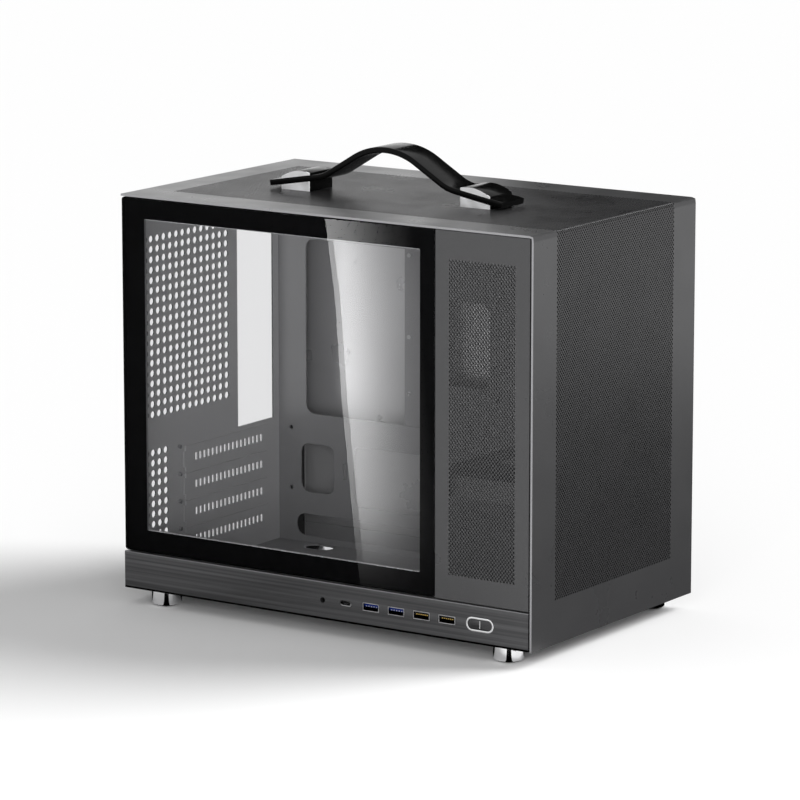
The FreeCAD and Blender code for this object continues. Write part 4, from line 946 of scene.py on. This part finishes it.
class CASE_OT_stage(bpy.types.Operator):
    """Sets the pale floor, the studio light, the sheets that show only in reflections, and the camera"""

    bl_idname = "case.stage"
    bl_label = "Stage"

    def execute(self, context):
        self.card("floor", ((-9.0, 9.0), (-9.0, 9.0)), 0.0, matte("floor_white", 0.9))
        self.reflections()
        self.world(context.scene)
        self.sun("key_light", (0.7, 0.78, 0.85), 3.0, 36)
        self.softbox("near_light", (0.55, -0.82, 0.26), (-0.06, 0.02, 0.18), 0.4, 2.8)
        self.camera(context.scene)
        return {"FINISHED"}

    def card(self, name, area, height, material):
        """A level sheet over an area in X and Y."""
        (left, right), (near, far) = area
        corners = [(left, near, height), (right, near, height), (right, far, height), (left, far, height)]
        return stage_sheet(name, corners, material)

    def reflections(self):
        """A slanted light for the glass, dark cards behind and before the case, and small ones at the feet."""
        self.slanted_light()
        black, height = matte("card_black", 0.0), 0.001
        back = [(-0.9, 1.5, 0.25), (2.4, 1.5, 0.25), (2.4, 1.5, 1.3), (-0.9, 1.5, 1.3)]
        only_in_reflections(stage_sheet("dark_card_back", back, black))
        only_in_reflections(self.card("dark_card_low", ((0.2, 0.75), (-0.2, 0.85)), height, black))
        only_in_reflections(self.card("dark_card_glass", ((-1.6, 0.3), (-2.2, -0.12)), height,
                                      self.seen_in_glass("card_glass", False)))
        for place, sectors in (("rear_glass", ((0, 15), (180, 66))), ("front_glass", ((0, 15), (180, 66))),
                               ("front_closed", ((0, 180),))):
            for turn, half in sectors:
                self.foot_card(place, turn, half, black)

    def foot_card(self, place, turn, half, material):
        """A sector on the floor round a foot, turned from the camera's side, for the dark lines in the chrome."""
        low, high = node_box("foot_%s_side" % place)
        axis = np.append((low + high)[:2] / 2, 0.0005)
        angles = np.radians(CAMERA_AZIMUTH + turn + np.linspace(-half, half, 17))
        arc = rows_of(np.sin(angles), -np.cos(angles), 0)
        step = np.arange(1, 17)
        fan = [rows_of(0, step, step + 1)]
        points = np.concatenate([axis[None], axis + 0.16 * arc])
        only_in_reflections(stage_sheet("dark_card_%s_%d" % (place, turn), points, material, fan))

    def slanted_light(self):
        """A light that the glass shows as a slanted band: sharp at its left edge and fading to the right.

        The sheet's points are the mirrored places of a grid on the glass, whose columns start at the band's left
        edge. Its strength falls off with the distance from that edge, and at the lower end."""
        heights = np.linspace(0.030, 0.312, 25)
        edge = np.interp(heights, (0.036, 0.0571, 0.0989, 0.1684, 0.2377, 0.2988, 0.312),
                         (0.0345, 0.0310, 0.0261, 0.0183, 0.0131, 0.0041, 0.0020))
        across = np.linspace(0, 0.0714, 19)
        x = edge[:, None] + across[None]
        z = np.repeat(heights[:, None], len(across), axis=1)
        points = mirrored_point(x, z, 3.0 * z).reshape(-1, 3)
        fall = np.interp(across / MM, (0, 8.4, 16, 21, 26, 31, 36, 41, 46, 51, 56, 61, 71.4),
                         (1, 0.88, 0.72, 0.62, 0.49, 0.39, 0.295, 0.228, 0.154, 0.105, 0.07, 0.047, 0))
        reach = np.interp(heights / MM, (30, 51, 62, 100, 121, 141, 183, 312),
                          (0, 0.05, 0.17, 0.63, 0.67, 0.82, 1, 1))
        index = np.arange(x.size).reshape(x.shape)
        faces = rows_of(index[:-1, :-1], index[:-1, 1:], index[1:, 1:], index[1:, :-1]).reshape(-1, 4)
        sheet = stage_sheet("slanted_light", points, self.seen_in_glass("fading_glow", True), [faces])
        fade = sheet.data.attributes.new("fade", "FLOAT", "POINT")
        fade.data.foreach_set("value", (reach[:, None] * fall[None]).astype(np.float32).ravel())
        only_in_reflections(sheet)

    def seen_in_glass(self, name, bright):
        """Clear but for sharp mirrors, to which it is dark or adds a light by the sheet's own fade."""
        tree, surface = bare_finish(name)
        clear = add_node(tree, "BsdfTransparent").outputs["BSDF"]
        sharp = add_node(tree, "LightPath").outputs["Is Singular Ray"]
        if bright:
            fade = add_node(tree, "Attribute", attribute_name="fade").outputs["Fac"]
            seen = add_node(tree, "Math", {0: sharp, 1: fade}, operation="MULTIPLY").outputs["Value"]
            strength = add_node(tree, "Math", {0: seen, 1: BAND_STRENGTH}, operation="MULTIPLY").outputs["Value"]
            glow = add_node(tree, "Emission", {"Strength": strength}).outputs["Emission"]
            both = add_node(tree, "AddShader", {0: clear, 1: glow})
        else:
            dark = add_node(tree, "BsdfDiffuse", {"Color": (0.15, 0.15, 0.15, 1)}).outputs["BSDF"]
            both = add_node(tree, "MixShader", {0: sharp, 1: clear, 2: dark})
        feed(tree, both.outputs["Shader"], surface)
        return bpy.data.materials[name]

    def world(self, scene):
        """White for the camera, mirrors and glass, and a softer white for the light on the object."""
        world = bpy.data.worlds.new("studio")
        scene.world = world
        world.use_nodes = True
        tree = world.node_tree
        rays = add_node(tree, "LightPath").outputs
        seen = rays["Is Camera Ray"]
        for kind in ("Is Glossy Ray", "Is Transmission Ray"):
            seen = add_node(tree, "Math", {0: seen, 1: rays[kind]}, operation="MAXIMUM").outputs["Value"]
        tone = blended(tree, "MIX", seen, (0.5, 0.5, 0.5, 1), (1, 1, 1, 1))
        shader = tree.nodes["Background"]
        feed(tree, tone, shader.inputs["Color"])
        shader.inputs["Strength"].default_value = 1.0

    def lamp(self, data, direction):
        """Puts a lamp into the scene, with its back turned in the given direction."""
        lamp = bpy.data.objects.new(data.name, data)
        lamp.rotation_euler = Vector(direction).to_track_quat("Z", "Y").to_euler()
        bpy.context.scene.collection.objects.link(lamp)
        return lamp

    def sun(self, name, towards, strength, angle):
        """A wide soft sun, which lights the whole floor evenly."""
        data = bpy.data.lights.new(name, "SUN")
        data.energy, data.angle = strength, math.radians(angle)
        self.lamp(data, towards)

    def softbox(self, name, place, aim, size, power):
        """A square soft lamp before the case, which brightens its near edges and its inside."""
        data = bpy.data.lights.new(name, "AREA")
        data.energy, data.size = power, size
        self.lamp(data, Vector(place) - Vector(aim)).location = place

    def camera(self, scene):
        azimuth, elevation = math.radians(CAMERA_AZIMUTH), math.radians(CAMERA_ELEVATION)
        back = Vector((math.sin(azimuth) * math.cos(elevation), -math.cos(azimuth) * math.cos(elevation),
                       math.sin(elevation)))
        data = bpy.data.cameras.new("camera")
        data.sensor_width = 36.0
        data.lens = 206.777
        data.clip_start, data.clip_end = 0.1, 50.0
        camera = bpy.data.objects.new("camera", data)
        camera.location = CAMERA_PLACE
        camera.rotation_mode = "QUATERNION"
        camera.rotation_quaternion = (-back).to_track_quat("-Z", "Y")
        scene.collection.objects.link(camera)
        scene.camera = camera
        scene.view_settings.view_transform = "Standard"


OPERATORS = (CASE_OT_finishes, CASE_OT_cover, CASE_OT_side_mesh, CASE_OT_rear_panel, CASE_OT_glass, CASE_OT_feet,
             CASE_OT_handle, CASE_OT_ports, CASE_OT_stage)


class CASE_PT_panel(bpy.types.Panel):
    """Lists the pieces of the case in the sidebar"""

    bl_idname = "CASE_PT_panel"
    bl_label = "Computer case"
    bl_space_type = "VIEW_3D"
    bl_region_type = "UI"
    bl_category = "Case"

    def draw(self, context):
        for name in CaseSettings.__annotations__:
            self.layout.prop(context.scene.case_settings, name)
        for operator in OPERATORS:
            self.layout.operator(operator.bl_idname)


CLASSES = (CaseSettings,) + OPERATORS + (CASE_PT_panel,)


def register():
    for made in CLASSES:
        bpy.utils.register_class(made)
    bpy.types.Scene.case_settings = bpy.props.PointerProperty(type=CaseSettings)


def unregister():
    del bpy.types.Scene.case_settings
    for made in reversed(CLASSES):
        bpy.utils.unregister_class(made)


def main():
    register()
    for operator in OPERATORS:
        group, name = operator.bl_idname.split(".")
        getattr(getattr(bpy.ops, group), name)()


if __name__ == "__main__":
    main()
